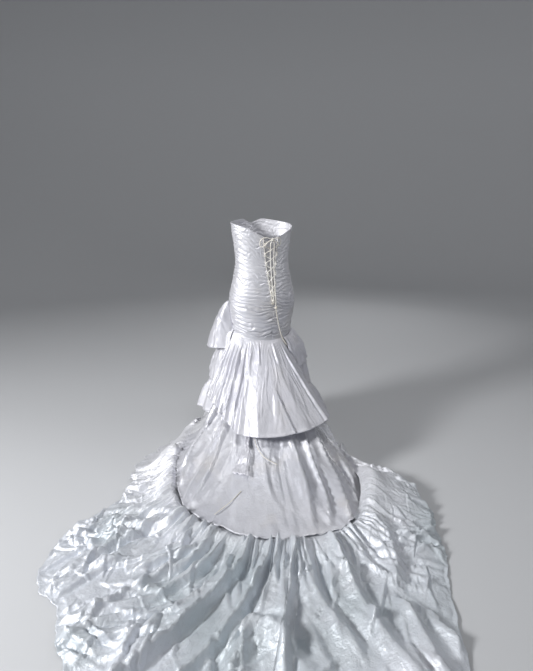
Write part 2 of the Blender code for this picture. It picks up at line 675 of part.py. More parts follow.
def build_lacing():
    for name, side in (("lace_strand_left", 1), ("lace_strand_right", -1)):
        last = side if LACE_LEVELS % 2 == 1 else -side
        route = lace_strand(side) + [knot_end((0.6 * last, -0.25, -0.75), STRAND_END_GAP)]
        rouleau(name, route, step=STRAND_STEP)
    knot = bmesh.new()
    bmesh.ops.create_uvsphere(knot, u_segments=12, v_segments=8, radius=BOW_KNOT_RADIUS)
    mesh = bpy.data.meshes.new("bow_knot")
    knot.to_mesh(mesh)
    knot.free()
    mesh.shade_smooth()
    add_object("bow_knot", mesh, LACE_CREAM).location = back_spot(0.0, BOW_HEIGHT, BOW_LIFT)
    left = [back_spot(*spot) for spot in BOW_LOOP_LEFT]
    rouleau("bow_loop_left", [knot_end((0.94, 0.34, 0))] + left + [knot_end((0.94, -0.34, 0))])
    right = [back_spot(*spot) for spot in BOW_LOOP_RIGHT]
    rouleau("bow_loop_right", [knot_end((-0.94, 0.34, 0))] + right + [knot_end((-0.94, -0.34, 0))])
    rouleau("lace_tail_left", [knot_end((0.45, -0.9, 0.1))] + [back_spot(*spot) for spot in TAIL_LEFT])
    rouleau("lace_tail_right", [knot_end((-0.45, -0.9, 0.1))] + [back_spot(*spot) for spot in TAIL_RIGHT])
    build_low_knot()


def build_low_knot():
    """A ring of lace round the right tail, where it is tied off at the foot of the opening."""
    bpy.ops.mesh.primitive_torus_add(major_segments=12, minor_segments=8,
                                     major_radius=KNOT_RING, minor_radius=KNOT_WIRE,
                                     location=back_spot(*LOW_KNOT))
    ring = bpy.context.active_object
    ring.name = "lace_low_knot"
    ring.data.name = "lace_low_knot"
    ring.data.shade_smooth()
    for holder in list(ring.users_collection):
        holder.objects.unlink(ring)
    bpy.data.collections[COLLECTION].objects.link(ring)
    ring.data.materials.append(satin("lace_low_knot", LACE_CREAM))


def build_ties():
    rouleau("train_tie_upper", [on_skirt(*np.array(spot)) for spot in UPPER_TIE], TIE_RADIUS)
    rouleau("train_tie_lower", [on_skirt(*np.array(spot)) for spot in LOWER_TIE], TIE_RADIUS)


def build_bodice():
    cloth_panel("bodice_front", front_panel, 12, 2 * RUCHES)
    cloth_panel("bodice_back_left", back_panel(1), 5, 2 * RUCHES)
    cloth_panel("bodice_back_right", back_panel(-1), 5, 2 * RUCHES)
    cloth_panel("modesty_panel", modesty_panel, 4, 8, SATIN_SHADE)
    cloth_panel("loop_band_left", loop_band(1), 1, 3 * LOOPS, LACE_CREAM, BAND_THICK)
    cloth_panel("loop_band_right", loop_band(-1), 1, 3 * LOOPS, LACE_CREAM, BAND_THICK)


def build_skirt():
    cloth_panel("skirt_back", sheet_point(SKIRT_BACK), SKIRT_BACK.columns, SKIRT_BACK.rows)
    cloth_panel("skirt_front", sheet_point(SKIRT_FRONT), SKIRT_FRONT.columns, SKIRT_FRONT.rows, SATIN_SHADE)
    cloth_panel("back_flounce", back_flounce, 54, 6)
    cloth_panel("train_tab", train_tab, 3, 5)
    for tier in FRONT_TIERS:
        cloth_panel(tier.name, front_tier(tier), 4 * tier.waves, 3)


def build_train():
    left = train_flounce(TRAIN_LEFT - TRAIN_HALF, TRAIN_CENTRE + TRAIN_HALF)
    right = train_flounce(TRAIN_CENTRE - TRAIN_HALF, TRAIN_RIGHT - 360.0 + TRAIN_HALF)
    front = train_flounce(TRAIN_RIGHT - TRAIN_HALF, TRAIN_LEFT + TRAIN_HALF)
    cloth_panel("train_left", left, 50, 7)
    cloth_panel("train_right", right, 42, 7)
    cloth_panel("front_hem_flounce", front, 52, 3, SATIN_SHADE)


def start_collection():
    for thing in list(bpy.data.objects):
        bpy.data.objects.remove(thing, do_unlink=True)
    bpy.context.scene.collection.children.link(bpy.data.collections.new(COLLECTION))


start_collection()
build_bodice()
build_lacing()
build_skirt()
build_train()
build_ties()
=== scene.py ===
"""Looks of the white satin gown with a lace-up back and a long train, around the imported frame.

Metres, +Z up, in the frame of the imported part. The wearer faces -Y and the origin is the middle of
the waist, so the floor is at -WAIST_HEIGHT. Two angles go round the gown, both from the back towards
the wearer's left: the body angle starts at +Y, and the train angle starts TRAIN_TURN further round.
"""

import json
import math
from collections import namedtuple

import bpy
import numpy as np
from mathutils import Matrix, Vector

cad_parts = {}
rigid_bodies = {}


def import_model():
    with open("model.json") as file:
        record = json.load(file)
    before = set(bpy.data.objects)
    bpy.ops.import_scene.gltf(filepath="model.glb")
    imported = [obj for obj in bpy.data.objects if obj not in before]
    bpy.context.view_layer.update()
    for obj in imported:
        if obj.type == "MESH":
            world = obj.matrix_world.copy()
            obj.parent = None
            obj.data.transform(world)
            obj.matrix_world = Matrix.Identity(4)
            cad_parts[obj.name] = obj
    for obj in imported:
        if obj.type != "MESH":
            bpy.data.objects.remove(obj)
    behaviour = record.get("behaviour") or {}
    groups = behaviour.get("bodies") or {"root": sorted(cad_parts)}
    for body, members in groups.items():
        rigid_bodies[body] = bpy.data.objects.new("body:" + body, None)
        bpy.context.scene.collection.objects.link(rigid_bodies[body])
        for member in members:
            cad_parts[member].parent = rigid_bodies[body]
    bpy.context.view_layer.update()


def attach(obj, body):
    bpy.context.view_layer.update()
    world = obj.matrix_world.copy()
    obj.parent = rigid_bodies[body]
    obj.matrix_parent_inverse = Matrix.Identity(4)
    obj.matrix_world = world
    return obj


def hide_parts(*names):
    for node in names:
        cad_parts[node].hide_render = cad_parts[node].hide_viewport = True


for stray in list(bpy.data.objects):
    bpy.data.objects.remove(stray)
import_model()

WAIST_HEIGHT = 1.06
TRAIN_TURN = math.radians(25.0)

# Layers: the solids' wall and the thinner one here, the gap of a seam, the steps between the layers,
# and how far each sheet stands over or runs under the next. TIER_UNDER is in degrees.
CLOTH = 0.0020
CLOTH_LOOK = 0.0012
SEAM = 0.0003
EDGE_STEP = 0.0012
FLOUNCE_STEP = 0.0005
HEM_STEP = 0.0015
TOP_LAYER = 0.0045
BODICE_LIFT = 0.0012
TUCK = 0.014
SKIRT_LAP = 0.0035
TIER_UNDER = 14.0

# How much a turned or bound edge is thicker than its sheet.
BOUND_EDGE = 0.0009
TURNED_HEM = 0.0013
SKIRT_EDGE = 0.0014

# The photo's camera.
CAMERA_PLACE = (1.097, 2.407, 0.37)
CAMERA_TILT = math.radians(73.8)
CAMERA_TURN = math.radians(155.0)
CAMERA_LENS = 28.43
CAMERA_SENSOR = 36.0

# Painted light: colour that the train is painted close to the upright, paler than further out, where its cooler
# colours stand in for the cool tint of the light on the outer train.
PAINTED_TRAIN_LIGHT = (0.83, 0.835, 0.88, 1.0)

# Lights and the round backdrop: its middle, flat part, bend, wall and number of sides.
Lamp = namedtuple("Lamp", "name spot aim size power")
LAMPS = [
    Lamp("key", (4.3, 0.8, 1.40), (0.0, 0.5, -0.6), 0.9, 205.0),
    Lamp("fill", (0.2, 3.6, 1.9), (0.0, 0.6, -0.7), 2.2, 3.0),
    Lamp("side", (-2.0, 1.8, 0.9), (0.0, 0.0, -0.1), 0.8, 9.0),
    Lamp("front", (-2.6, -2.8, 1.2), (0.0, 0.0, -0.3), 1.8, 20.0),
    Lamp("top", (0.2, 1.1, 2.5), (0.0, 0.1, 0.0), 0.7, 23.0),
]
AIR_COLOUR = (0.90, 0.93, 0.97, 1.0)
AIR_LIGHT = 0.065
STAGE_MIDDLE = 0.6
STAGE_INNER = 2.0
STAGE_FLAT = 5.0
STAGE_BEND = 3.0
STAGE_TOP = 10.0
STAGE_SIDES = 72
STAGE_PAINT = (0.62, 0.63, 0.65)


def table(kind, *rows):
    return [kind(*row) for row in rows]


# The hollow worn form, a ring for each height, the width of the bust and half the gap of a side seam,
# both as angles.
Ring = namedtuple("Ring", "height half_width half_depth front_fullness")
BODY = table(
    Ring, (0.60, 0.138, 0.112, 0.000), (0.67, 0.143, 0.115, 0.000), (0.76, 0.158, 0.122, 0.000),
    (0.86, 0.170, 0.125, 0.000), (0.97, 0.148, 0.110, 0.004), (1.06, 0.135, 0.099, 0.004),
    (1.14, 0.143, 0.101, 0.016), (1.22, 0.154, 0.106, 0.026), (1.30, 0.158, 0.108, 0.016))
BUST_SPREAD = math.radians(58.0)
SIDE_GAP = 0.001

# Side seams by height. The left one swings forward below the waist.
Seam = namedtuple("Seam", "height left right")
SIDE_SEAMS = table(
    Seam, (0.66, 107, -90), (0.76, 107, -90), (0.85, 106, -90), (0.97, 94, -90), (1.06, 87, -90),
    (1.24, 83, -90))

# Neckline and lower edge of the bodice by body angle in degrees.
Edge = namedtuple("Edge", "angle height")
NECKLINE = table(
    Edge, (0, 1.172), (25, 1.184), (60, 1.222), (90, 1.240), (125, 1.246), (155, 1.250), (180, 1.230),
    (205, 1.248), (235, 1.240), (270, 1.226), (300, 1.206), (335, 1.180))
BACK_HEM = table(
    Edge, (-90, 0.690), (-45, 0.672), (0, 0.668), (45, 0.676), (85, 0.700), (107, 0.712))
FRONT_HEM = table(
    Edge, (107, 0.850), (140, 0.822), (180, 0.770), (225, 0.722), (270, 0.690))

# Ruching: how far the solids' folds stand out at the neckline and at the hem, and the rolls here: how
# many from hem to neckline, their depth at the hip and above, and their sag towards the middle.
RUCHE_TOP = 0.0020
RUCHE_HEM = 0.0050
RUCHE_ROLLS = 25.0
ROLL_HIP = 0.0086
ROLL_ABOVE = 0.0044
RUCHE_SAG = 0.012

# Laced opening, nearly closed at its foot, with its bands and the panel behind it.
OPENING_TOP = 1.172
OPENING_FOOT = 0.850
OPENING_HALF = 0.036
CENTRE_HALF = 0.00035
LOOP_BAND = 0.007
BAND_THICK = 0.0024
MODESTY_MARGIN = 0.022
MODESTY_GAP = 0.0014

# Lace: a satin rouleau, crossed over the opening and tied in a bow at the neckline. BOW_SINK is the
# gap, or the overlap when negative, where an end meets the bow's knot.
LACE_RADIUS = 0.0026
TRIM_RADIUS = 0.0019
LACE_CLEAR = 0.0012
LACE_END_GAP = 0.0006
LACE_LEVELS = 7
LACE_FOOT = 0.868
LACE_HEAD = 1.140
BOW_KNOT_RADIUS = 0.0095
BOW_HEIGHT = 1.166
BOW_LIFT = 0.0195
BOW_SINK = -0.003
KNOT_WIRE = 0.0023

# Windings of the cord in the bow's knot and in the low knot.
Winding = namedtuple("Winding", "axis radius turns pitch squash")
BOW_WINDINGS = [Winding((0.3, 0.0, 1.0), 0.0062, 2.5, 0.0042, 0.8),
                Winding((1.0, 0.0, 0.25), 0.0055, 1.5, 0.0042, 0.8)]
LOW_WINDING = Winding((0.25, 0.0, 1.0), 0.0054, 2.0, 0.0046, 1.0)

# A rouleau loop: distance from the opening's edge, rise and lift over the band.
LOOP_SHAPE = [(0.009, 0.0075, 0.0), (0.004, 0.0080, 0.002), (-0.001, 0.0045, 0.004), (-0.0025, 0.0, 0.005),
              (-0.001, -0.0045, 0.004), (0.004, -0.0080, 0.002), (0.009, -0.0075, 0.0)]

# Routes on the bodice's back: distance left of the middle, height, lift over the worn form.
Spot = namedtuple("Spot", "side height lift")
BOW_LOOP_LEFT = table(
    Spot, (0.026, 1.176, 0.022), (0.046, 1.171, 0.020), (0.056, 1.152, 0.015), (0.050, 1.133, 0.014),
    (0.034, 1.137, 0.017), (0.021, 1.153, 0.020))
BOW_LOOP_RIGHT = table(
    Spot, (-0.024, 1.174, 0.022), (-0.038, 1.166, 0.020), (-0.044, 1.149, 0.016), (-0.036, 1.136, 0.016),
    (-0.023, 1.147, 0.020))
TAIL_LEFT = table(
    Spot, (0.008, 1.140, 0.021), (0.008, 1.080, 0.021), (0.006, 1.000, 0.021), (0.005, 0.930, 0.021),
    (0.003, 0.872, 0.021))
TAIL_RIGHT = table(
    Spot, (-0.008, 1.140, 0.021), (-0.007, 1.080, 0.021), (-0.006, 1.000, 0.021), (-0.006, 0.930, 0.021),
    (-0.007, 0.872, 0.0205), (-0.010, 0.838, 0.0150), (-0.018, 0.795, 0.0120), (-0.030, 0.745, 0.0115),
    (-0.043, 0.700, 0.0130), (-0.055, 0.668, 0.0190), (-0.064, 0.640, 0.0340))
LOW_KNOT = Spot(-0.010, 0.838, 0.0150)

# Ties for hooking up the train, on the skirt: train angle, share of the way down, lift.
TIE_RADIUS = 0.0020
TIE_LIFT = 0.009
TIE_SEWN = 0.0036
SkirtSpot = namedtuple("SkirtSpot", "angle down lift")
UPPER_TIE = [SkirtSpot(7.6, 0.44, TIE_SEWN), SkirtSpot(6.4, 0.49, TIE_LIFT), SkirtSpot(4.4, 0.54, TIE_LIFT),
             SkirtSpot(1.4, 0.585, TIE_LIFT), SkirtSpot(-2.0, 0.62, TIE_LIFT), SkirtSpot(-8.5, 0.65, TIE_LIFT)]
LOWER_TIE = [SkirtSpot(8.5, 0.80, TIE_SEWN), SkirtSpot(10.5, 0.84, TIE_LIFT), SkirtSpot(12.5, 0.88, TIE_LIFT),
             SkirtSpot(14.5, 0.92, TIE_LIFT), SkirtSpot(16.0, 0.955, TIE_LIFT)]

# Tab of satin that hangs from under the back flounce: train angles of its sides by share down.
TabRow = namedtuple("TabRow", "down left right")
TAB = table(
    TabRow, (0.46, 11.8, 9.4), (0.54, 12.0, 8.8), (0.63, 13.4, 6.8), (0.72, 15.6, 6.0))

# Line where the skirt meets the train flounce, and the outer edge of that flounce on the floor,
# by train angle in degrees. Reaches are measured from the upright through the waist.
Plan = namedtuple("Plan", "angle seam_reach seam_height hem_reach")
PLAN = table(
    Plan, (0, 0.830, 0.055, 1.900), (8, 0.795, 0.052, 1.880), (15, 0.760, 0.050, 1.790),
    (21, 0.740, 0.050, 1.590), (26, 0.715, 0.050, 1.450), (33, 0.665, 0.055, 1.345),
    (41, 0.600, 0.060, 1.285), (47, 0.555, 0.070, 1.130), (53, 0.520, 0.080, 0.840),
    (62, 0.470, 0.090, 0.730), (72, 0.425, 0.105, 0.695), (90, 0.375, 0.130, 0.580),
    (110, 0.340, 0.150, 0.480), (145, 0.318, 0.165, 0.430), (180, 0.310, 0.170, 0.420),
    (215, 0.315, 0.170, 0.420), (250, 0.335, 0.150, 0.430), (272, 0.365, 0.125, 0.415),
    (286, 0.400, 0.110, 0.450), (294, 0.430, 0.100, 0.590), (300, 0.480, 0.085, 0.810),
    (308, 0.565, 0.075, 0.960), (316, 0.665, 0.065, 1.070), (324, 0.755, 0.055, 1.210),
    (332, 0.818, 0.052, 1.410), (338, 0.838, 0.052, 1.620), (345, 0.842, 0.055, 1.800),
    (352, 0.836, 0.055, 1.880))

# Folds that run from the seam to the outer edge of the train, by train angle in degrees.
TrainFold = namedtuple("TrainFold", "seam_angle hem_angle width height")
TRAIN_FOLDS = table(
    TrainFold, (60.0, 66.0, 0.060, 0.050), (48.0, 57.0, 0.050, 0.045), (38.0, 50.0, 0.055, 0.050),
    (29.5, 44.5, 0.050, 0.050), (24.0, 39.5, 0.045, 0.045), (18.0, 34.0, 0.050, 0.055),
    (13.0, 29.0, 0.045, 0.045), (7.0, 24.5, 0.050, 0.050), (1.5, 18.5, 0.052, 0.062),
    (-3.0, 11.0, 0.045, 0.040), (-7.0, 5.0, 0.050, 0.055), (-11.5, -2.0, 0.055, 0.070),
    (-14.5, -10.5, 0.045, 0.045), (-18.0, -18.0, 0.050, 0.055), (-21.5, -25.0, 0.045, 0.040),
    (-25.0, -31.5, 0.052, 0.055), (-30.0, -38.5, 0.050, 0.050), (-37.0, -46.0, 0.055, 0.050),
    (-47.0, -54.0, 0.060, 0.060), (-57.0, -61.0, 0.055, 0.030))

# Largest single folds of the train, by points on the floor. The steep side is the right-hand one
# on the way from the first point to the last, or the left-hand one with side -1.
Ridge = namedtuple("Ridge", "points width height side")
TRAIN_RIDGES = table(
    Ridge,
    ([(0.40, 0.76), (0.48, 0.86), (0.63, 0.94), (0.76, 1.01), (0.88, 1.07), (1.02, 1.12)], 0.027, 0.049, -1),
    ([(0.49, 0.70), (0.58, 0.77), (0.66, 0.80), (0.78, 0.83)], 0.020, 0.026, -1),
    ([(0.51, 0.64), (0.58, 0.71), (0.69, 0.74), (0.77, 0.75), (0.88, 0.78)], 0.020, 0.029, -1),
    ([(0.58, 0.56), (0.65, 0.65), (0.73, 0.69), (0.82, 0.70)], 0.019, 0.024, -1),
    ([(0.56, 0.47), (0.67, 0.48), (0.75, 0.46), (0.84, 0.38)], 0.027, 0.029, -1),
    ([(0.75, 0.47), (0.91, 0.51), (0.98, 0.55), (1.06, 0.60)], 0.029, 0.030, -1),
    ([(0.38, 0.84), (0.43, 0.92), (0.52, 1.01), (0.62, 1.12)], 0.029, 0.023, -1),
    ([(0.31, 0.88), (0.35, 0.97), (0.42, 1.09), (0.49, 1.24)], 0.029, 0.021, -1),
    ([(0.72, 1.28), (0.61, 1.13), (0.55, 1.10), (0.50, 1.15), (0.47, 1.30)], 0.040, 0.032, -1),
    ([(0.19, 0.83), (0.28, 1.07), (0.29, 1.18), (0.28, 1.32)], 0.035, 0.029, -1),
    ([(0.09, 0.84), (0.13, 1.02), (0.16, 1.17), (0.18, 1.38), (0.18, 1.55)], 0.043, 0.035, -1),
    ([(0.00, 0.84), (-0.05, 0.92), (-0.07, 1.06)], 0.028, 0.020, 1),
    ([(-0.11, 0.84), (-0.13, 0.93), (-0.08, 1.06), (-0.02, 1.14)], 0.035, 0.026, -1),
    ([(0.24, 0.82), (0.30, 0.95), (0.37, 1.08)], 0.022, 0.017, 1),
    ([(0.02, 1.22), (0.06, 1.36), (0.10, 1.52)], 0.047, 0.029, -1),
    ([(0.33, 0.80), (0.42, 0.93), (0.55, 1.03), (0.70, 1.13), (0.86, 1.20)], 0.024, 0.034, -1),
    ([(0.36, 0.90), (0.47, 1.03), (0.60, 1.16), (0.72, 1.30)], 0.022, 0.028, 1),
    ([(0.27, 0.86), (0.36, 1.03), (0.46, 1.17), (0.54, 1.34)], 0.026, 0.034, -1),
    ([(0.44, 0.74), (0.56, 0.86), (0.72, 0.93), (0.90, 0.98)], 0.022, 0.030, 1),
    ([(0.62, 0.44), (0.72, 0.34), (0.86, 0.26)], 0.028, 0.017, -1))

# Lobe of the train that rests plainly on the floor, behind the wearer's right.
LOBE_X = -0.30
LOBE_Y = 0.70
LOBE_SIZE = 0.16
LOBE_HEIGHT = 0.085

# The train's fall from the seam, its ruffle there, its long folds and swells, and its outer edge.
SEAM_FALL = 0.20
HEM_SCALLOP = 0.018
HEM_WAVES = 34
HEM_FLAT = 0.45
SEAM_SINK = 0.004
RUFFLE = 0.006
RUFFLE_BACK = 0.018
RUFFLE_LENGTH = 0.13
LONG_FOLD_SHARE = 0.42
MOUND = 0.014
MOUND_SIZE = 0.42
EDGE_FALL = 0.70
EDGE_CURL = 0.004
FLOOR_CLEAR = 0.0012

# Crisp gathers that start at a seam, by train angle, and fields of short crisp folds: a seed, how many,
# the ranges of their length, width and height, and how far they turn from the run of the cloth.
Gathers = namedtuple("Gathers", "seed count first last lengths widths heights")
BACK_GATHERS = Gathers(201, 150, -68.0, 66.0, (0.05, 0.42), (0.009, 0.020), (0.006, 0.018))
FRONT_GATHERS = Gathers(231, 150, 58.0, 300.0, (0.05, 0.30), (0.008, 0.018), (0.006, 0.016))
Field = namedtuple("Field", "seed count lengths widths heights spread")
TRAIN_LONG = Field(211, 170, (0.14, 0.46), (0.010, 0.022), (0.007, 0.021), 0.36)
TRAIN_SHORT = Field(221, 420, (0.07, 0.24), (0.006, 0.011), (0.003, 0.009), 0.75)
TRAIN_HEAP = Field(241, 110, (0.14, 0.46), (0.012, 0.024), (0.010, 0.024), 0.55)
SKIRT_LONG = Field(301, 46, (0.14, 0.45), (0.006, 0.014), (0.004, 0.011), 0.12)
SKIRT_SHORT = Field(302, 90, (0.04, 0.12), (0.004, 0.008), (0.0015, 0.004), 0.6)
FLOUNCE_LONG = Field(311, 46, (0.08, 0.26), (0.005, 0.011), (0.0025, 0.007), 0.14)
FLOUNCE_SHORT = Field(312, 60, (0.03, 0.08), (0.003, 0.006), (0.001, 0.0028), 0.7)
TIER_FIELD = Field(321, 60, (0.05, 0.20), (0.005, 0.012), (0.003, 0.009), 0.3)

# Fine creases: height, degrees round for one crease, creases on the way down, and a seed.
Creasing = namedtuple("Creasing", "height wide down seed")
SKIRT_CREASES = table(Creasing, (0.0018, 3.2, 4.0, 63), (0.0008, 1.6, 14.0, 64))
FLOUNCE_CREASES = table(Creasing, (0.0024, 12.0, 2.6, 83), (0.0007, 3.0, 9.0, 84))
TIER_CREASES = table(Creasing, (0.0050, 8.0, 2.2, 91), (0.0016, 3.0, 6.0, 92))

# Broad folds of the skirt under the flounces, by train angle in degrees.
SkirtFold = namedtuple("SkirtFold", "top_angle foot_angle width height")
SKIRT_FOLDS = table(
    SkirtFold, (66, 52, 0.050, 0.030), (52, 40, 0.040, 0.026), (38, 30, 0.040, 0.026),
    (26, 20, 0.045, 0.022), (10, 9, 0.040, 0.024), (-6, -1, 0.060, 0.020), (-24, -17, 0.040, 0.030),
    (-42, -28, 0.045, 0.026), (-56, -42, 0.045, 0.034))

# Crisp single folds that hang down the skirt and the back flounce: train angle at their upper and
# lower end, share of the way down at each, and which side is the steep one.
Line = namedtuple("Line", "top_angle foot_angle first last width height side")
SKIRT_LINES = table(
    Line, (66, 49, 0.30, 1.00, 0.022, 0.026, 1), (58, 38, 0.34, 1.04, 0.026, 0.036, 1),
    (46, 30, 0.25, 1.02, 0.014, 0.010, -1), (38, 24, 0.30, 1.06, 0.024, 0.024, 1),
    (22, 7, 0.45, 0.98, 0.018, 0.010, 1), (2, -4, 0.42, 0.80, 0.016, 0.012, -1),
    (-12, -9, 0.55, 1.04, 0.014, 0.008, 1), (-25, -15, 0.35, 1.04, 0.017, 0.012, -1),
    (-39, -21, 0.30, 1.00, 0.020, 0.026, -1), (-46, -27, 0.34, 1.04, 0.026, 0.036, -1),
    (-58, -33, 0.38, 1.04, 0.018, 0.022, -1), (-64, -39, 0.34, 1.00, 0.020, 0.024, 1),
    (-74, -46, 0.30, 1.02, 0.022, 0.028, -1), (-86, -62, 0.30, 1.02, 0.024, 0.024, -1))
FLOUNCE_LINES = table(
    Line, (72, 70, 0.02, 1.10, 0.010, 0.009, -1), (66, 62, 0.02, 1.10, 0.010, 0.011, -1),
    (60, 55, 0.02, 1.12, 0.011, 0.012, -1), (54, 47, 0.02, 1.12, 0.012, 0.014, -1),
    (47, 39, 0.02, 1.12, 0.012, 0.015, -1), (40, 30, 0.02, 1.12, 0.014, 0.018, -1),
    (31, 21, 0.02, 1.12, 0.012, 0.012, -1), (22, 15, 0.02, 0.45, 0.010, 0.006, 1),
    (8, 3, 0.02, 0.30, 0.011, 0.005, -1), (-15, -22, 0.50, 1.10, 0.014, 0.010, -1),
    (-24, -26, 0.02, 0.30, 0.010, 0.005, 1), (-45, -47, 0.02, 1.10, 0.012, 0.010, 1))

# Hem of the large back flounce, and its folds, by train angle in degrees.
Hem = namedtuple("Hem", "angle reach height")
BACK_FLOUNCE_HEM = table(
    Hem, (-54, 0.414, 0.322), (-45, 0.425, 0.308), (-30, 0.432, 0.300), (-15, 0.430, 0.292),
    (0, 0.415, 0.284), (15, 0.390, 0.280), (27, 0.345, 0.300), (38, 0.315, 0.326), (50, 0.295, 0.345),
    (62, 0.290, 0.356), (76, 0.292, 0.368))
BACK_FLOUNCE_LEFT = 76.0
BACK_FLOUNCE_RIGHT = -54.0
FLOUNCE_FOLDS = table(
    SkirtFold, (68, 66, 0.020, 0.016), (55, 52, 0.019, 0.018), (43, 39, 0.018, 0.022),
    (32, 28, 0.018, 0.024), (21, 17, 0.019, 0.026), (6, 2, 0.045, 0.030), (-10, -14, 0.024, 0.012),
    (-22, -30, 0.030, 0.020), (-38, -47, 0.045, 0.018))

# Front flounces, upper to lower, from the left round the front to the right. The uppermost hangs
# from the bodice's own edge, the others are sewn on the skirt at these heights.
Tier = namedtuple("Tier", "name left right top_left top_right hem_left hem_right"
                  " spread_left spread_right flare waves swing")
FRONT_TIERS = [
    Tier("front_flounce_upper", 83, 303, None, None, 0.605, 0.510, 0.125, 0.075, 0.85, 10, 0.018),
    Tier("front_flounce_middle", 82, 300, 0.650, 0.560, 0.420, 0.370, 0.125, 0.085, 0.60, 11, 0.022),
    Tier("front_flounce_lower", 82, 292, 0.460, 0.370, 0.255, 0.215, 0.150, 0.145, 0.65, 12, 0.022),
]
TIER_LIFT = 0.006
SKIRT_SIDE_LEFT = 82.0
SKIRT_SIDE_RIGHT = 245.0
SIDE_HALF = 0.2
Panel = namedtuple("Panel", "first last columns rows")
SKIRT_BACK = Panel(SKIRT_SIDE_LEFT - SIDE_HALF, SKIRT_SIDE_RIGHT - 360.0 + SIDE_HALF, 48, 6)
SKIRT_FRONT = Panel(SKIRT_SIDE_LEFT + SIDE_HALF, SKIRT_SIDE_RIGHT - SIDE_HALF, 22, 5)

# Seams that part the train flounce, by train angle at the skirt.
TRAIN_CENTRE = -8.1
TRAIN_LEFT = 62.5
TRAIN_RIGHT = 295.0


def cyclic(rows, column, angle):
    """Smooth value of a table column at an angle in degrees, all the way round."""
    angles = np.array([row.angle for row in rows], float)
    values = np.array([getattr(row, column) for row in rows], float)
    spread = np.concatenate([angles - 360.0, angles, angles + 360.0])
    return hermite(spread, np.tile(values, 3), np.mod(np.asarray(angle, float), 360.0))


def along(rows, key, column, value):
    """Smooth value of a table column between the table's ends."""
    keys = np.array([getattr(row, key) for row in rows], float)
    values = np.array([getattr(row, column) for row in rows], float)
    return hermite(keys, values, np.clip(value, keys[0], keys[-1]))


def hermite(keys, values, x):
    """Piecewise cubic through the points, with slopes that never overshoot."""
    step = np.diff(keys)
    rise = np.diff(values) / step
    slope = np.zeros_like(values)
    same = rise[:-1] * rise[1:] > 0.0
    harmonic = 2.0 * rise[:-1] * rise[1:] / np.where(same, rise[:-1] + rise[1:], 1.0)
    slope[1:-1] = np.where(same, harmonic, 0.0)
    slope[0] = rise[0]
    slope[-1] = rise[-1]
    x = np.asarray(x, float)
    i = np.clip(np.searchsorted(keys, x, side="right") - 1, 0, len(step) - 1)
    t = (x - keys[i]) / step[i]
    h = step[i]
    return (values[i] * (1 + 2 * t) * (1 - t) ** 2 + h * slope[i] * t * (1 - t) ** 2
            + values[i + 1] * t ** 2 * (3 - 2 * t) - h * slope[i + 1] * t ** 2 * (1 - t))


def smooth(low, high, x):
    t = np.clip((np.asarray(x, float) - low) / (high - low), 0.0, 1.0)
    return t * t * (3.0 - 2.0 * t)


def blend(first, last, share):
    return first + (last - first) * share


def between(rise, top, fall, end, x):
    """Rises from 0 to 1 between the first two values and falls back between the last two."""
    return smooth(rise, top, x) * (1.0 - smooth(fall, end, x))


def from_back(degrees):
    """The same angle between -180 and 180 degrees."""
    return np.mod(degrees + 180.0, 360.0) - 180.0


def off_sides(across):
    """0 at both side edges of a sheet, and 1 from 4 per cent inside."""
    return np.clip(24.0 * across * (1.0 - across), 0, 1)


def ripple(x, count, seed):
    """Uneven round waves between -1 and 1, about count of them as x goes from 0 to 1."""
    warp = 0.32 * np.sin(2 * np.pi * (2.3 * x + seed)) + 0.20 * np.sin(2 * np.pi * (5.1 * x + 2 * seed))
    phase = 2 * np.pi * (count * x + warp)
    strength = 0.78 + 0.22 * np.sin(2 * np.pi * (3.7 * x + 1.7 * seed))
    return strength * (0.86 * np.sin(phase) + 0.14 * np.sin(2 * phase + 0.9))


def body_reach(angle, height):
    """Distance from the upright axis to the worn form at a body angle in radians."""
    half_width = along(BODY, "height", "half_width", height)
    half_depth = along(BODY, "height", "half_depth", height)
    fullness = along(BODY, "height", "front_fullness", height)
    oval = half_width * half_depth / np.hypot(half_depth * np.sin(angle), half_width * np.cos(angle))
    from_front = np.abs(np.mod(angle, 2 * np.pi) - np.pi)
    return oval + fullness * (1.0 - smooth(0.0, BUST_SPREAD, from_front))


def place(angle, reach, height):
    """Points from body angle in radians, reach from the axis and height from the floor."""
    return np.stack([reach * np.sin(angle), reach * np.cos(angle), height - WAIST_HEIGHT], axis=-1)


def place_train(degrees, reach, height):
    return place(np.radians(degrees) + TRAIN_TURN, reach, height)


def fold_heights(folds, degrees, reach, ripe, run):
    """The tallest of the rounded ridges whose middle line swings from one angle to another."""
    tallest = 0.0
    for fold in folds:
        middle = blend(fold.top_angle, fold.foot_angle, run)
        offset = np.radians(degrees - middle) * reach / fold.width
        tallest = np.maximum(tallest, fold.height * ripe * np.exp(-offset ** 2))
    return tallest


def neckline(angle):
    return cyclic(NECKLINE, "height", np.degrees(angle))


def back_hem(angle):
    return along(BACK_HEM, "angle", "height", np.degrees(angle))


def front_hem(angle):
    """Lower edge of the bodice across the front, and on round the back's right half."""
    ahead = along(FRONT_HEM, "angle", "height", np.degrees(angle))
    return np.where(angle > 1.5 * np.pi, back_hem(angle - 2 * np.pi), ahead)


def side_seam(side, up, low_edge, turn=0.0):
    """Angle of a side seam at a share of the way from a panel's low edge up to the neckline."""
    angle = np.full_like(np.asarray(up, float), np.pi / 2 if side == "left" else turn - np.pi / 2)
    for _ in range(8):
        height = blend(low_edge(angle), neckline(angle), up)
        angle = np.radians(along(SIDE_SEAMS, "height", side, height)) + turn
    return angle


def ruche_stand(up):
    """Height of the ruching, deeper at the hips than at the neckline."""
    return blend(RUCHE_HEM, RUCHE_TOP, smooth(0.15, 0.75, up))


def opening_half(height):
    """Half the width of the laced opening in the centre back."""
    share = np.clip((height - OPENING_FOOT) / (OPENING_TOP - OPENING_FOOT), 0.0, 1.2)
    return CENTRE_HALF + OPENING_HALF * share


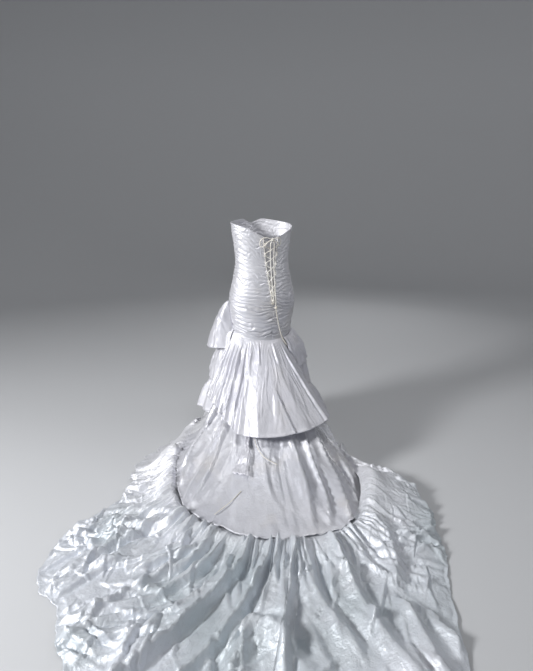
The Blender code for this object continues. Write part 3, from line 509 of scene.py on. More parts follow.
def back_angle(side, height):
    """Body angle of a point on the back that lies a given distance left of the middle."""
    depth = along(BODY, "height", "half_depth", height)
    return np.arctan2(side, depth)


def bodice_share(height):
    """Share of the way up the centre back, from the bodice's lower edge to its neckline."""
    return (height - back_hem(0.0)) / (neckline(0.0) - back_hem(0.0))


def band_lift(height):
    """Middle of the loop bands, clear of the ruching under them."""
    return ruche_stand(bodice_share(height)) + 0.5 * CLOTH + 0.5 * BAND_THICK + SEAM


def modesty_panel(across, up):
    low = OPENING_FOOT - 0.015
    height = blend(low, OPENING_TOP - 0.012, up)
    side = (opening_half(height) + MODESTY_MARGIN) * (2.0 * across - 1.0)
    angle = back_angle(side, height)
    behind = ruche_stand(bodice_share(height)) + CLOTH + MODESTY_GAP
    return place(angle, body_reach(angle, height) - behind, height)


def seam_reach(degrees):
    return cyclic(PLAN, "seam_reach", degrees)


def seam_lift(degrees):
    """Height of the seam between the skirt and the train flounce."""
    return cyclic(PLAN, "seam_height", degrees)


def skirt_steepness(degrees):
    """The back of the skirt sweeps out near the floor, and the front hangs straighter."""
    return 1.60 - 0.35 * smooth(70.0, 150.0, np.abs(from_back(degrees)))


def skirt_profile(degrees, down, top_height):
    """Reach and height on the skirt from the bodice to the train seam, down from 0 to 1."""
    steep = skirt_steepness(degrees)
    start = body_reach(np.radians(degrees) + TRAIN_TURN, top_height) - CLOTH
    end = seam_reach(degrees) - HEM_STEP
    reach = blend(start, end, down ** steep)
    height = blend(top_height, seam_lift(degrees), 1.0 - (1.0 - down) ** steep)
    fold = fold_heights(SKIRT_FOLDS, from_back(degrees), reach, between(0.0, 0.55, 0.80, 1.0, down), down)
    return reach + 0.45 * fold, height + 0.85 * fold


def skirt_top(degrees, step=EDGE_STEP):
    """Upper edge of the skirt or of a flounce over it, just under the bodice's lower edge."""
    angle = np.radians(degrees) + TRAIN_TURN
    behind = degrees < SKIRT_SIDE_LEFT
    return np.where(behind, back_hem(angle), front_hem(angle)) - step


def skirt_sheet(across, down):
    """Points of the solid skirt's back panel."""
    degrees = blend(SKIRT_BACK.first, SKIRT_BACK.last, across)
    return place_train(degrees, *skirt_profile(degrees, down, skirt_top(degrees)))


def on_skirt(degrees, down, lift):
    """Points over the flat facets of the skirt's back panel, lifted outward and up."""
    column = (degrees - SKIRT_BACK.first) / (SKIRT_BACK.last - SKIRT_BACK.first) * SKIRT_BACK.columns
    row = down * SKIRT_BACK.rows
    i = np.floor(column)
    j = np.floor(row)
    u = (column - i)[..., None]
    v = (row - j)[..., None]
    corner = {}
    for across in (0, 1):
        for below in (0, 1):
            corner[across, below] = skirt_sheet((i + across) / SKIRT_BACK.columns,
                                                (j + below) / SKIRT_BACK.rows)
    near = corner[0, 0] * (1 - u) + corner[1, 0] * u
    far = corner[0, 1] * (1 - u) + corner[1, 1] * u
    angle = np.radians(degrees) + TRAIN_TURN
    away = np.stack([0.6 * np.sin(angle), 0.6 * np.cos(angle), np.full_like(angle, 0.8)], axis=-1)
    return near * (1 - v) + far * v + np.asarray(lift)[..., None] * away


def tier_seam(tier, across, degrees):
    """Where a front flounce is sewn on: its height, and its reach just outside the skirt."""
    skirt = skirt_top(degrees)
    if tier.top_left is None:
        edge = skirt_top(degrees, FLOUNCE_STEP)
        return edge, body_reach(np.radians(degrees) + TRAIN_TURN, edge) + TOP_LAYER
    height = blend(tier.top_left, tier.top_right, across)
    share = (skirt - height) / (skirt - seam_lift(degrees))
    down = 1.0 - (1.0 - share) ** (1.0 / skirt_steepness(degrees))
    return height, skirt_profile(degrees, down, skirt)[0] + TIER_LIFT


def noise(x, y, seed=0):
    """Smooth gradient noise, about one bump a unit and mostly between -1 and 1."""
    x, y = np.broadcast_arrays(np.asarray(x, float), np.asarray(y, float))
    i = np.floor(x).astype(np.int64)
    j = np.floor(y).astype(np.int64)
    u = x - i
    v = y - j

    def corner(right, above):
        shuffled = (i + right) * 374761393 + (j + above) * 668265263 + seed * 362437
        shuffled = (shuffled ^ (shuffled >> 13)) * 1274126177
        angle = ((shuffled ^ (shuffled >> 16)) & 0xFFFF) * (2 * np.pi / 65536)
        return np.cos(angle) * (u - right) + np.sin(angle) * (v - above)

    fade_u = u ** 3 * (u * (6 * u - 15) + 10)
    fade_v = v ** 3 * (v * (6 * v - 15) + 10)
    low = corner(0, 0) * (1 - fade_u) + corner(1, 0) * fade_u
    high = corner(0, 1) * (1 - fade_u) + corner(1, 1) * fade_u
    return 1.6 * (low * (1 - fade_v) + high * fade_v)


def creases(x, y, seed, crisp=5.0):
    """Thin ridges and valleys over nearly flat facets, as in crumpled satin, one every unit."""
    bend_x = x + 0.45 * noise(0.6 * x, 0.6 * y, seed + 1)
    bend_y = y + 0.45 * noise(0.6 * x, 0.6 * y, seed + 2)
    ridge = np.exp(-crisp * np.abs(noise(bend_x, bend_y, seed + 3)))
    valley = np.exp(-crisp * np.abs(noise(1.3 * bend_x, 1.3 * bend_y, seed + 4)))
    slow = noise(0.8 * bend_x, 0.8 * bend_y, seed + 5)
    return 0.6 * slow + 0.55 * ridge - 0.5 * valley


def creased(rows, degrees, down):
    return sum(row.height * creases(degrees / row.wide, row.down * down, row.seed) for row in rows)


def normals(grid):
    """Unit normals of a grid of points, on the side that faces away from the axis or up."""
    normal = np.cross(np.gradient(grid, axis=1), np.gradient(grid, axis=0))
    normal /= np.maximum(np.linalg.norm(normal, axis=-1, keepdims=True), 1e-12)
    outward = grid * (1.0, 1.0, 0.0) + (0.0, 0.0, 0.6)
    return normal * np.sign(np.sum(normal * outward))


def raised(grid, amount):
    """The grid moved along its normals."""
    return grid + normals(grid) * np.asarray(amount)[..., None]


def long_folds(folds, degrees, reach, ripe, run, seed):
    """Rounded ridges with crisp valleys between them, wandering and uneven along their length."""
    tallest = 0.0
    for number, fold in enumerate(folds):
        first, last = fold[0], fold[1]
        wander = 0.9 * noise(3.0 * run + 0.03 * degrees, 7.3 * number, seed)
        middle = blend(first, last, run) + wander * smooth(0.05, 0.5, run)
        offset = np.radians(degrees - middle) * reach / fold.width
        lean = offset + 0.25 * np.tanh(offset) * noise(2.0 * run, 3.1 * number + 0.5, seed + 1)
        uneven = 1.0 + 0.45 * noise(2.8 * run, 5.7 * number, seed + 2)
        ridge = np.exp(-np.abs(lean) ** 1.4)
        tallest = np.maximum(tallest, fold.height * ripe * uneven * ridge)
    return tallest


def cross(offset):
    """Height across a crisp fold: steep on its positive side, with a narrow valley at that foot."""
    side = np.where(offset > 0.0, 2.1 * offset, -0.75 * offset)
    return np.exp(-side ** 1.25) - 0.42 * np.exp(-((offset - 0.90) / 0.34) ** 2)


def drawn_fold(x, y, ridge):
    """A fold along a few points on the floor, which rises and fades at its ends."""
    points = np.array(ridge.points)
    count = len(points) - 1
    best = np.full(x.shape, 9.0)
    offset = np.zeros(x.shape)
    share = np.zeros(x.shape)
    for k in range(count):
        step = points[k + 1] - points[k]
        length = np.hypot(*step)
        forward = ((x - points[k, 0]) * step[0] + (y - points[k, 1]) * step[1]) / length ** 2
        low = -0.6 if k == 0 else 0.0
        high = 1.6 if k == count - 1 else 1.0
        held = np.clip(forward, low, high)
        gap_x = x - points[k, 0] - held * step[0]
        gap_y = y - points[k, 1] - held * step[1]
        gap = np.hypot(gap_x, gap_y)
        sign = np.sign(gap_x * step[1] - gap_y * step[0])
        nearer = gap < best
        best = np.where(nearer, gap, best)
        offset = np.where(nearer, sign * gap, offset)
        share = np.where(nearer, (k + held) / count, share)
    width = ridge.width * (0.55 + 0.75 * smooth(-0.2, 0.7, share))
    fade = between(-0.06, 0.20, 0.86, 1.25, share)
    return ridge.height * fade * cross(ridge.side * offset / width)


def crinkles(grid, field):
    """Heights of many short crisp folds, each curved a little and turned from the run of the cloth."""
    dice = np.random.default_rng(field.seed)
    x, y = grid[..., 0], grid[..., 1]
    rows, columns = x.shape
    total = np.zeros_like(x)
    for _ in range(field.count):
        i = int(dice.integers(2, rows - 2))
        j = int(dice.integers(2, columns - 2))
        length = dice.uniform(*field.lengths)
        width = dice.uniform(*field.widths)
        height = dice.uniform(*field.heights)
        turn = math.atan2(y[i + 2, j] - y[i - 2, j], x[i + 2, j] - x[i - 2, j])
        turn += dice.normal(0.0, field.spread)
        bend = dice.normal(0.0, 0.35)
        side = 1.0 if dice.random() < 0.7 else -1.0
        near = (np.abs(x - x[i, j]) < 0.6 * length) & (np.abs(y - y[i, j]) < 0.6 * length)
        east = x[near] - x[i, j]
        north = y[near] - y[i, j]
        forward = (east * math.cos(turn) + north * math.sin(turn)) / length
        beside = north * math.cos(turn) - east * math.sin(turn) - bend * length * forward ** 2
        fade = np.clip(1.0 - 4.0 * forward ** 2, 0.0, 1.0)
        narrow = width * (0.5 + 0.5 * fade)
        total[near] += height * fade * cross(side * beside / narrow)
    return total


def sewn_gathers(turn, across_scale, away, gathers):
    """Heights of crisp gathers that start at the seam, each with its own length."""
    dice = np.random.default_rng(gathers.seed)
    total = np.zeros_like(away)
    for _ in range(gathers.count):
        start = dice.uniform(gathers.first, gathers.last)
        length = dice.uniform(*gathers.lengths)
        width = dice.uniform(*gathers.widths)
        height = dice.uniform(*gathers.heights)
        lean = dice.normal(0.0, 5.0)
        near = (np.abs(turn - start) < 7.0) & (away < 1.2 * length)
        run = away[near] / length
        offset = (turn[near] - start - lean * run * length) * across_scale[near]
        wide = width * (0.35 + 0.9 * np.clip(run, 0.0, 1.0))
        fade = between(-0.03, 0.10, 0.35, 1.15, run)
        total[near] += height * fade * cross(-offset / wide)
    return total


def train_swing(seam_degrees):
    """The swing of the train's lines, closed round the front."""
    rows = sorted(TRAIN_FOLDS, key=lambda fold: fold.seam_angle)
    angles = [fold.seam_angle for fold in rows] + [rows[0].seam_angle + 360.0]
    ends = [fold.hem_angle for fold in rows] + [rows[0].hem_angle + 360.0]
    turns = np.floor((seam_degrees - angles[0]) / 360.0) * 360.0
    return np.interp(seam_degrees - turns, angles, ends) + turns


def train_looks(seam_degrees, out):
    """The train with the long folds, gathers and crumples of its satin."""
    degrees = blend(seam_degrees, train_swing(seam_degrees), out)
    seam = seam_reach(degrees)
    start = seam - TUCK
    end = cyclic(PLAN, "hem_reach", degrees)
    turn = from_back(seam_degrees)
    scallop = HEM_SCALLOP * ripple(turn / 360.0 + 0.5, HEM_WAVES, 0.21)
    ragged = 0.010 * noise(0.55 * turn, 0.0, 71) + 0.005 * noise(1.6 * turn, 0.0, 72)
    reach = blend(start, end + scallop + ragged, out)
    flat = place_train(degrees, reach, 0.0 * reach)
    x, y = flat[..., 0], flat[..., 1]
    scale = np.hypot(np.gradient(x, axis=1), np.gradient(y, axis=1)) / np.abs(np.gradient(seam_degrees, axis=1))

    # Where each kind of fold belongs: away from the seam, behind the wearer, off the resting lobe.
    away = reach - seam
    behind = between(-65.0, -60.0, 57.0, 62.0, turn)
    open_back = between(-45.0, -25.0, 30.0, 50.0, turn)
    ripe = smooth(0.0, 0.22, out) * (1.0 - HEM_FLAT * smooth(0.75, 1.0, out))
    rest = np.exp(-((x - LOBE_X) ** 2 + (y - LOBE_Y) ** 2) / LOBE_SIZE ** 2)
    calm = 1.0 - 0.92 * rest ** 0.6
    strength = smooth(0.0, 0.03, away)
    open_cloth = smooth(0.06, 0.22, away) * behind * calm * (1.0 - 0.40 * smooth(28.0, 48.0, turn))
    heap = smooth(0.34, 0.50, out) * open_cloth

    # The fall from the seam to the floor, and the ruffle that stands along the seam.
    fall = 1.0 - smooth(0.0, 1.0, away / np.minimum(SEAM_FALL, 0.95 * (end - seam)))
    height = (seam_lift(degrees) - SEAM_SINK) * fall
    height += (RUFFLE + RUFFLE_BACK * open_back) * smooth(0.0, 0.045, away) * np.exp(-away / RUFFLE_LENGTH)

    # Long folds, a slow swell, the drawn folds and the lobe.
    soft = 0.55 + 0.45 * noise(0.12 * turn, 1.8 * out, 35)
    height += LONG_FOLD_SHARE * soft * long_folds(TRAIN_FOLDS, degrees, reach, ripe, out, 31) * behind
    height += MOUND * ripe * behind * np.clip(noise(x / MOUND_SIZE, y / MOUND_SIZE, 36) + 0.2, 0.0, 1.0)
    height += sum(drawn_fold(x, y, ridge) for ridge in TRAIN_RIDGES)
    height += strength * calm * sewn_gathers(turn, scale, away, BACK_GATHERS)
    height += LOBE_HEIGHT * rest * behind

    # Short crisp folds and fine creases.
    height += open_cloth * crinkles(flat, TRAIN_LONG)
    height += open_cloth * crinkles(flat, TRAIN_SHORT)
    height += heap * crinkles(flat, TRAIN_HEAP)
    fine = 0.0040 * creases(x / 0.11, y / 0.11, 52, 4.0) + 0.0015 * creases(x / 0.045, y / 0.045, 53, 4.0)
    height += fine * smooth(0.03, 0.20, away) * calm
    around = np.mod(seam_degrees, 360.0)
    height += (1.0 - behind) * strength * sewn_gathers(around, scale, away, FRONT_GATHERS)

    # The edge lies down on the floor and curls a little.
    height *= 1.0 - EDGE_FALL * smooth(0.93, 1.0, out)
    height += EDGE_CURL * smooth(0.95, 1.0, out) * (1.0 + ripple(turn / 360.0, 90, 0.47))
    flat[..., 2] = np.maximum(flat[..., 2] + height, FLOOR_CLEAR - WAIST_HEIGHT)
    return flat


def train_part(first, last):
    """Point function of the train from one angle at the skirt's edge to another."""
    return lambda across, out: train_looks(blend(first, last, across), out)


def hanging_folds(lines, turn, down, reach):
    """Heights of crisp folds that hang down a panel and fade at their ends."""
    total = 0.0
    for line in lines:
        share = np.clip((down - line.first) / (line.last - line.first), 0.0, 1.0)
        fade = smooth(0.0, 0.35, share) * (1.0 - smooth(0.80, 1.0, share) * (line.last < 1.01))
        middle = blend(line.top_angle, line.foot_angle, share)
        middle = middle + 1.2 * noise(3.0 * down, 2.3 * line.top_angle, 66)
        width = line.width * (0.5 + 0.6 * share)
        total = total + line.height * fade * cross(line.side * np.radians(turn - middle) * reach / width)
    return total


def skirt_reach(degrees, height):
    """Reach of the skirt at a height, the same from both sides of the left seam."""
    angle = np.radians(degrees) + TRAIN_TURN
    steep = skirt_steepness(degrees)
    low = seam_lift(degrees) + SKIRT_LAP
    end = seam_reach(degrees)

    def below(top):
        start = body_reach(angle, top) - CLOTH
        share = np.clip((top - height) / (top - low), 0.0, 1.0)
        down = 1.0 - (1.0 - share) ** (1.0 / steep)
        body = body_reach(angle, np.maximum(height, top)) - CLOTH
        return np.where(height > top, body, blend(start, end, down ** steep))

    own = below(skirt_top(degrees))
    beside = below(back_hem(angle) - EDGE_STEP)
    turned = smooth(SKIRT_SIDE_LEFT, SKIRT_SIDE_LEFT + 34.0, degrees)
    blended = blend(beside, own, turned)
    return np.where((degrees > SKIRT_SIDE_LEFT) & (degrees < SKIRT_SIDE_RIGHT), blended, own)


def skirt_looks(panel):
    """Skirt under the flounces: long soft folds, and a turned edge that laps the train's seam."""
    def point(across, down):
        degrees = blend(panel.first, panel.last, across)
        turn = from_back(degrees)
        top = skirt_top(degrees)
        steep = skirt_steepness(degrees)
        low = seam_lift(degrees) + SKIRT_LAP
        height = blend(top, low, 1.0 - (1.0 - down) ** steep)
        reach = skirt_reach(degrees, height)
        reach = reach + (0.004 + 0.010 * noise(0.22 * turn, 0.0, 67)) * smooth(0.7, 1.0, down)
        fold = 0.7 * long_folds(SKIRT_FOLDS, turn, reach, between(0.0, 0.55, 0.80, 1.0, down), down, 61)
        grid = place_train(degrees, reach + 0.45 * fold, height + 0.85 * fold)
        hung = hanging_folds(SKIRT_LINES, turn, down, reach)
        relief = 1.25 * hung * (1.0 - 0.55 * smooth(0.93, 1.0, down))
        calm = 0.85 * np.exp(-((turn - 6.5) / 11.0) ** 4) * (1.0 - smooth(0.90, 0.98, down))
        soft = 0.0035 * between(0.1, 0.5, 0.9, 1.0, down)
        relief += soft * creases(turn / 7.5, 1.7 * down, 62, 3.5)
        cloth_plane = np.stack([np.radians(turn) * 0.35, 0.80 * down], axis=-1)
        loose = between(0.05, 0.30, 0.92, 1.0, down) * off_sides(across)
        relief += loose * crinkles(cloth_plane, SKIRT_LONG)
        relief += loose * crinkles(cloth_plane, SKIRT_SHORT)
        relief += creased(SKIRT_CREASES, turn, down) * smooth(0.2, 0.6, down)
        relief *= 1.0 - calm
        pulled = noise(0.42 * turn, 0.0, 65) + 0.6 * noise(1.1 * turn, 0.0, 68)
        relief += 0.0085 * pulled * smooth(0.90, 0.995, down)
        return raised(grid, relief + SKIRT_EDGE * smooth(0.984, 0.988, down))

    return point


def back_flounce_looks(across, down):
    """Back flounce: narrow gathers under the bodice, open folds below and a narrow rolled hem."""
    degrees = blend(BACK_FLOUNCE_LEFT, BACK_FLOUNCE_RIGHT, across)
    top = skirt_top(degrees, FLOUNCE_STEP)
    start = body_reach(np.radians(degrees) + TRAIN_TURN, top)
    end = along(BACK_FLOUNCE_HEM, "angle", "reach", degrees)
    low = along(BACK_FLOUNCE_HEM, "angle", "height", degrees)
    opened = 0.0055 * smooth(0.0, 0.045, down)
    reach = start - 0.0005 + opened + (end - start - 0.005) * np.maximum(down - 0.02, 0.0) ** 1.08
    height = top + 0.009 + (low - top - 0.009) * down ** 0.97
    ripe = smooth(0.0, 0.9, down)
    fold = 0.55 * long_folds(FLOUNCE_FOLDS, degrees, reach, ripe, down, 81)
    grid = place_train(degrees, reach + 0.85 * fold, height + 0.35 * fold)
    gathered = smooth(0.015, 0.06, down)
    uneven = 0.6 + 0.5 * noise(9.0 * across, 2.0 * down, 85)
    fine = 0.0026 * uneven * ripple(across, 44, 0.19) * gathered * (1.0 - smooth(0.06, 0.26, down))
    wide = hanging_folds(FLOUNCE_LINES, degrees, down, reach) * gathered
    crumple = creased(FLOUNCE_CREASES, degrees, down) * smooth(0.1, 0.4, down)
    cloth_plane = np.stack([np.radians(degrees) * 0.28, 0.42 * down], axis=-1)
    loose = smooth(0.05, 0.20, down) * off_sides(across) * (1.0 - 0.65 * smooth(0.38, 0.50, across))
    crumple += loose * crinkles(cloth_plane, FLOUNCE_LONG)
    crumple += loose * crinkles(cloth_plane, FLOUNCE_SHORT)
    hem = TURNED_HEM * smooth(0.972, 0.977, down)
    return raised(grid, fine + wide + crumple + hem)


def front_tier_looks(tier):
    """One gathered flounce across the front, which comes out from under the back flounce."""
    first = tier.left - TIER_UNDER

    def point(across, down):
        degrees = blend(first, tier.right, across)
        inside = np.clip((degrees - tier.left) / (tier.right - tier.left), 0.0, 1.0)
        top, start = tier_seam(tier, inside, degrees)
        if tier.top_left is None:
            angle = np.radians(degrees) + TRAIN_TURN
            joined = smooth(tier.left - 9.0, tier.left + 1.0, degrees)
            behind = back_hem(angle)
            ahead = front_hem(np.maximum(angle, np.radians(tier.left) + TRAIN_TURN))
            top = blend(behind, ahead, joined) - FLOUNCE_STEP
            start = body_reach(angle, top) + TOP_LAYER + 0.002 * (1.0 - inside)
        else:
            start = skirt_reach(degrees, top) + TIER_LIFT
        wave = ripple(across, tier.waves, 0.13 * tier.waves)
        minor = ripple(across, 2.7 * tier.waves, 0.31)
        ripe = smooth(0.0, 0.8, down)
        spread = blend(tier.spread_left, tier.spread_right, inside)
        opened = 0.22 + 0.78 * smooth(0.0, TIER_UNDER + 8.0, degrees - first)
        swell = (tier.swing * wave * ripe + 0.30 * tier.swing * minor * smooth(0.0, 0.3, down)) * opened
        reach = start - 0.003 + opened * spread * down ** (0.75 * tier.flare) + swell
        hem = blend(tier.hem_left, tier.hem_right, inside)
        height = top + 0.004 + (hem - top - 0.004) * down ** 1.25 + 0.25 * tier.swing * wave * ripe
        grid = place_train(degrees, reach, height)
        relief = 0.0028 * ripple(across, 52, 0.67) * between(0.0, 0.05, 0.1, 0.5, down)
        relief += creased(TIER_CREASES, degrees, down) * smooth(0.1, 0.5, down) * opened
        cloth_plane = np.stack([np.radians(degrees) * 0.30, (top - hem) * down], axis=-1)
        field = TIER_FIELD._replace(seed=TIER_FIELD.seed + tier.waves)
        relief += opened * smooth(0.05, 0.25, down) * crinkles(cloth_plane, field)
        return raised(grid, relief + TURNED_HEM * smooth(0.965, 0.972, down))

    return point


def ruching(across, up, seed):
    """Gathered satin: rounded rolls with sharp creases between, shallow above and deep at the hip."""
    wander = 0.95 * noise(2.0 * across, 7.0 * up, seed) + 0.38 * noise(5.0 * across, 15.0 * up, seed + 1)
    rolls = RUCHE_ROLLS * up + wander
    roll = np.abs(np.sin(np.pi * rolls)) ** 0.55 - 0.72
    second = np.abs(np.sin(np.pi * (1.9 * rolls + 2.2 * noise(3.0 * across, 9.0 * up, seed + 2)))) - 0.6
    strength = np.clip(0.75 + 0.75 * noise(2.4 * across, 11.0 * up, seed + 3), 0.12, 1.5)
    depth = blend(ROLL_HIP, ROLL_ABOVE, smooth(0.22, 0.62, up))
    pinched = 1.0 - 0.30 * smooth(0.86, 1.0, np.abs(2.0 * across - 1.0))
    small = 0.0010 * creases(5.0 * across, 26.0 * up, seed + 4)
    edge = between(0.0, 0.012, 0.985, 1.0, up)
    return (depth * strength * pinched * (roll + 0.40 * second) + small) * edge


def on_bodice(angle, up, height, roll):
    bound = BOUND_EDGE * smooth(0.978, 0.984, up)
    return place(angle, body_reach(angle, height) + BODICE_LIFT + roll + bound, height)


def back_half_looks(sign):
    """One half of the bodice's back, from its side seam to the opening: sign is +1 on the left."""
    side = "left" if sign > 0 else "right"

    def point(across, up):
        height = blend(back_hem(0.0), neckline(0.0), up)
        side_angle = side_seam(side, up, back_hem) - sign * SIDE_GAP
        centre_angle = sign * back_angle(opening_half(height), height)
        angle = blend(side_angle, centre_angle, across)
        sag = RUCHE_SAG * np.sin(np.pi * across) * (1.0 - up) * up * 4.0
        height = blend(back_hem(angle), neckline(angle), up) - sag
        roll = ruching(across, up - 0.035 * across * (1.0 - up), 101 + sign)
        return on_bodice(angle, up, height, roll)

    return point


def front_looks(across, up):
    first = side_seam("left", up, front_hem) + SIDE_GAP
    last = side_seam("right", up, front_hem, 2 * np.pi) - SIDE_GAP
    angle = blend(first, last, across)
    height = blend(front_hem(angle), neckline(angle), up)
    return on_bodice(angle, up, height, ruching(2.2 * across, up, 111))


def modesty_looks(across, up):
    fade = smooth(0.0, 0.1, np.minimum(up, 1 - up))
    return raised(modesty_panel(across, up), 0.0010 * creases(6.0 * across, 14.0 * up, 121) * fade)


def tab_looks(across, down):
    share = blend(TAB[0].down, TAB[-1].down, down)
    left = along(TAB, "down", "left", share)
    ragged = 0.25 * noise(9.0 * down, 0.0, 131)
    degrees = blend(left, along(TAB, "down", "right", share), across) + ragged
    grid = on_skirt(degrees, share + 0.004 * noise(7.0 * across, 0.0, 132) * down, 0.004 + 0.008 * down)
    return raised(grid, 0.0055 * creases(3.0 * across, 5.0 * down, 133))


def put(name, data):
    """A new object in the scene."""
    thing = bpy.data.objects.new(name, data)
    bpy.context.scene.collection.objects.link(thing)
    return thing


def sheet_mesh(name, grid):
    index = np.arange(grid.shape[0] * grid.shape[1]).reshape(grid.shape[:2])
    faces = np.stack([index[:-1, :-1], index[1:, :-1], index[1:, 1:], index[:-1, 1:]], axis=-1)
    mesh = bpy.data.meshes.new(name)
    mesh.from_pydata(grid.reshape(-1, 3).tolist(), [], faces.reshape(-1, 4).tolist())
    mesh.shade_smooth()
    return mesh


def finished(thing, name, nodes, material):
    """Gives a piece its name, its material and its place on the frame, and hides the CAD nodes that it stands
    for.
    """
    thing.name = name
    thing.data.name = name
    thing.data.materials.clear()
    thing.data.materials.append(material)
    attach(thing, "root")
    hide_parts(*nodes)
    return thing


def grid_of(point, columns, rows, hem=1.0):
    across, down = np.meshgrid(np.linspace(0, 1, columns + 1), np.linspace(0, 1, rows + 1) ** hem)
    return point(across, down)


def cloth(name, grid, material):
    """A sheet of satin through a grid of points, with a thin wall, whose name ends in _cloth."""
    thing = put(name, sheet_mesh(name, grid))
    wall = thing.modifiers.new("wall", "SOLIDIFY")
    wall.thickness = CLOTH_LOOK
    wall.offset = 0.0
    finished(thing, name + "_cloth", [name], material)


def smooth_route(points, step):
    """Even points along a Catmull-Rom curve through the route's own points."""
    route = np.array(points, float)
    route = np.vstack([2 * route[0] - route[1], route, 2 * route[-1] - route[-2]])
    fine = []
    for a, b, c, d in zip(route[:-3], route[1:-2], route[2:-1], route[3:]):
        for t in np.linspace(0, 1, 24, endpoint=False):
            fine.append(0.5 * (2 * b + (c - a) * t + (2 * a - 5 * b + 4 * c - d) * t * t
                               + (3 * b - a - 3 * c + d) * t ** 3))
    fine = np.array(fine + [route[-2]])
    length = np.concatenate([[0.0], np.cumsum(np.linalg.norm(np.diff(fine, axis=0), axis=1))])
    count = max(2, int(round(length[-1] / step)) + 1)
    even = np.linspace(0.0, length[-1], count)
    return np.stack([np.interp(even, length, fine[:, k]) for k in range(3)], axis=1)


def tube(name, routes, radius, material, nodes, step=0.004):
    """Round satin cord along one or more routes."""
    curve = bpy.data.curves.new(name, "CURVE")
    curve.dimensions = "3D"
    curve.bevel_depth = radius
    curve.bevel_resolution = 4
    curve.use_fill_caps = True
    for points in routes:
        route = smooth_route(points, step)
        spline = curve.splines.new("POLY")
        spline.points.add(len(route) - 1)
        for target, point in zip(spline.points, route):
            target.co = (*point, 1.0)
        spline.use_smooth = True
    return finished(put(name, curve), name, nodes, material)


def back_spot(side, height, lift):
    angle = float(back_angle(side, height))
    return place(angle, float(body_reach(angle, height)) + lift, height)


def lace_height(level):
    return LACE_FOOT + (LACE_HEAD - LACE_FOOT) * level / (LACE_LEVELS - 1)


def lace_strand(first_side):
    """One end of the lace, from the foot of the opening up to the bow, side to side."""
    points = []
    for level in range(LACE_LEVELS):
        side = first_side if level % 2 == 0 else -first_side
        height = lace_height(level)
        edge = float(opening_half(height)) + 0.5 * LOOP_BAND
        over = float(band_lift(height)) + 0.5 * BAND_THICK + LACE_RADIUS + LACE_CLEAR
        points.append(back_spot(side * edge, height, over))
        if level < LACE_LEVELS - 1:
            step = (LACE_HEAD - LACE_FOOT) / (LACE_LEVELS - 1)
            above = LACE_RADIUS + SEAM if side > 0 else -(LACE_RADIUS + SEAM)
            points.append(back_spot(0.0, height + 0.5 * step, over + above))
    return points


def knot_end(direction, gap=LACE_END_GAP):
    """Where a lace meets the bow's knot, in a direction given left, up and away from the back."""
    left, up, away = np.array(direction, float) / np.linalg.norm(direction)
    middle = back_spot(0.0, BOW_HEIGHT, BOW_LIFT)
    return middle + (BOW_KNOT_RADIUS + gap) * np.array([left, away, up])


def wound(middle, axis, radius, turns, pitch, squash):
    """Points of a cord wound round an axis, for a knot."""
    along_axis = np.array(axis, float) / np.linalg.norm(axis)
    across = np.cross(along_axis, (0.0, 1.0, 0.2))
    across /= np.linalg.norm(across)
    other = np.cross(along_axis, across)
    angles = np.linspace(0.0, 2 * np.pi * turns, int(14 * turns) + 1)
    return [middle + radius * (np.cos(a) * across + squash * np.sin(a) * other)
            + along_axis * pitch * (a / (2 * np.pi) - 0.5 * turns) for a in angles]


def edge_trim(sign):
    """Piping down one edge of the opening, and the rouleau loops that the lace passes through."""
    piping = []
    loops = []
    for share in np.linspace(0.0, 1.0, 15):
        height = OPENING_FOOT + 0.002 + (OPENING_TOP - OPENING_FOOT - 0.004) * share
        side = float(opening_half(height)) + 0.0022
        piping.append(back_spot(sign * side, height, float(ruche_stand(bodice_share(height))) + 0.001))
    for level in range(LACE_LEVELS):
        height = lace_height(level)
        lift = float(band_lift(height)) + 0.001
        side = float(opening_half(height))
        loops.append([back_spot(sign * (side + out), height + rise, lift + off)
                      for out, rise, off in LOOP_SHAPE])
    return [piping] + loops


def new_material(name):
    """A material with one Principled shader, and the object's own coordinates."""
    material = bpy.data.materials.new(name)
    material.use_nodes = True
    tree = material.node_tree
    tree.nodes.clear()
    output = tree.nodes.new("ShaderNodeOutputMaterial")
    shader = tree.nodes.new("ShaderNodeBsdfPrincipled")
    tree.links.new(shader.outputs["BSDF"], output.inputs["Surface"])
    return material, tree, shader, add(tree, "ShaderNodeTexCoord").outputs["Object"]


def add(tree, kind, inputs=(), **settings):
    """A new node; an input is a value or the socket that feeds it."""
    node = tree.nodes.new(kind)
    for key, value in settings.items():
        setattr(node, key, value)
    for key, value in dict(inputs).items():
        if isinstance(value, bpy.types.NodeSocket):
            tree.links.new(value, node.inputs[key])
        else:
            node.inputs[key].default_value = value
    return node


def speckle(tree, vector, scale, detail, inputs=(), **settings):
    sockets = {"Vector": vector, "Scale": scale, "Detail": detail, **dict(inputs)}
    return add(tree, "ShaderNodeTexNoise", sockets, **settings).outputs["Fac"]


def ranged(tree, value, low, high, to_low=0.0, to_high=1.0):
    sockets = {"Value": value, "From Min": low, "From Max": high, "To Min": to_low, "To Max": to_high}
    return add(tree, "ShaderNodeMapRange", sockets).outputs["Result"]


def mixed(tree, factor, first, second):
    """Two colours mixed. The sockets go by number, because their names repeat for each data type."""
    return add(tree, "ShaderNodeMix", {0: factor, 6: first, 7: second}, data_type="RGBA").outputs[2]


def scaled(tree, vector, scale):
    return add(tree, "ShaderNodeMapping", {"Vector": vector, "Scale": scale}).outputs["Vector"]


def bump(tree, height, strength, distance, under=None):
    sockets = {"Height": height, "Strength": strength, "Distance": distance}
    if under is not None:
        sockets["Normal"] = under
    return add(tree, "ShaderNodeBump", sockets).outputs["Normal"]


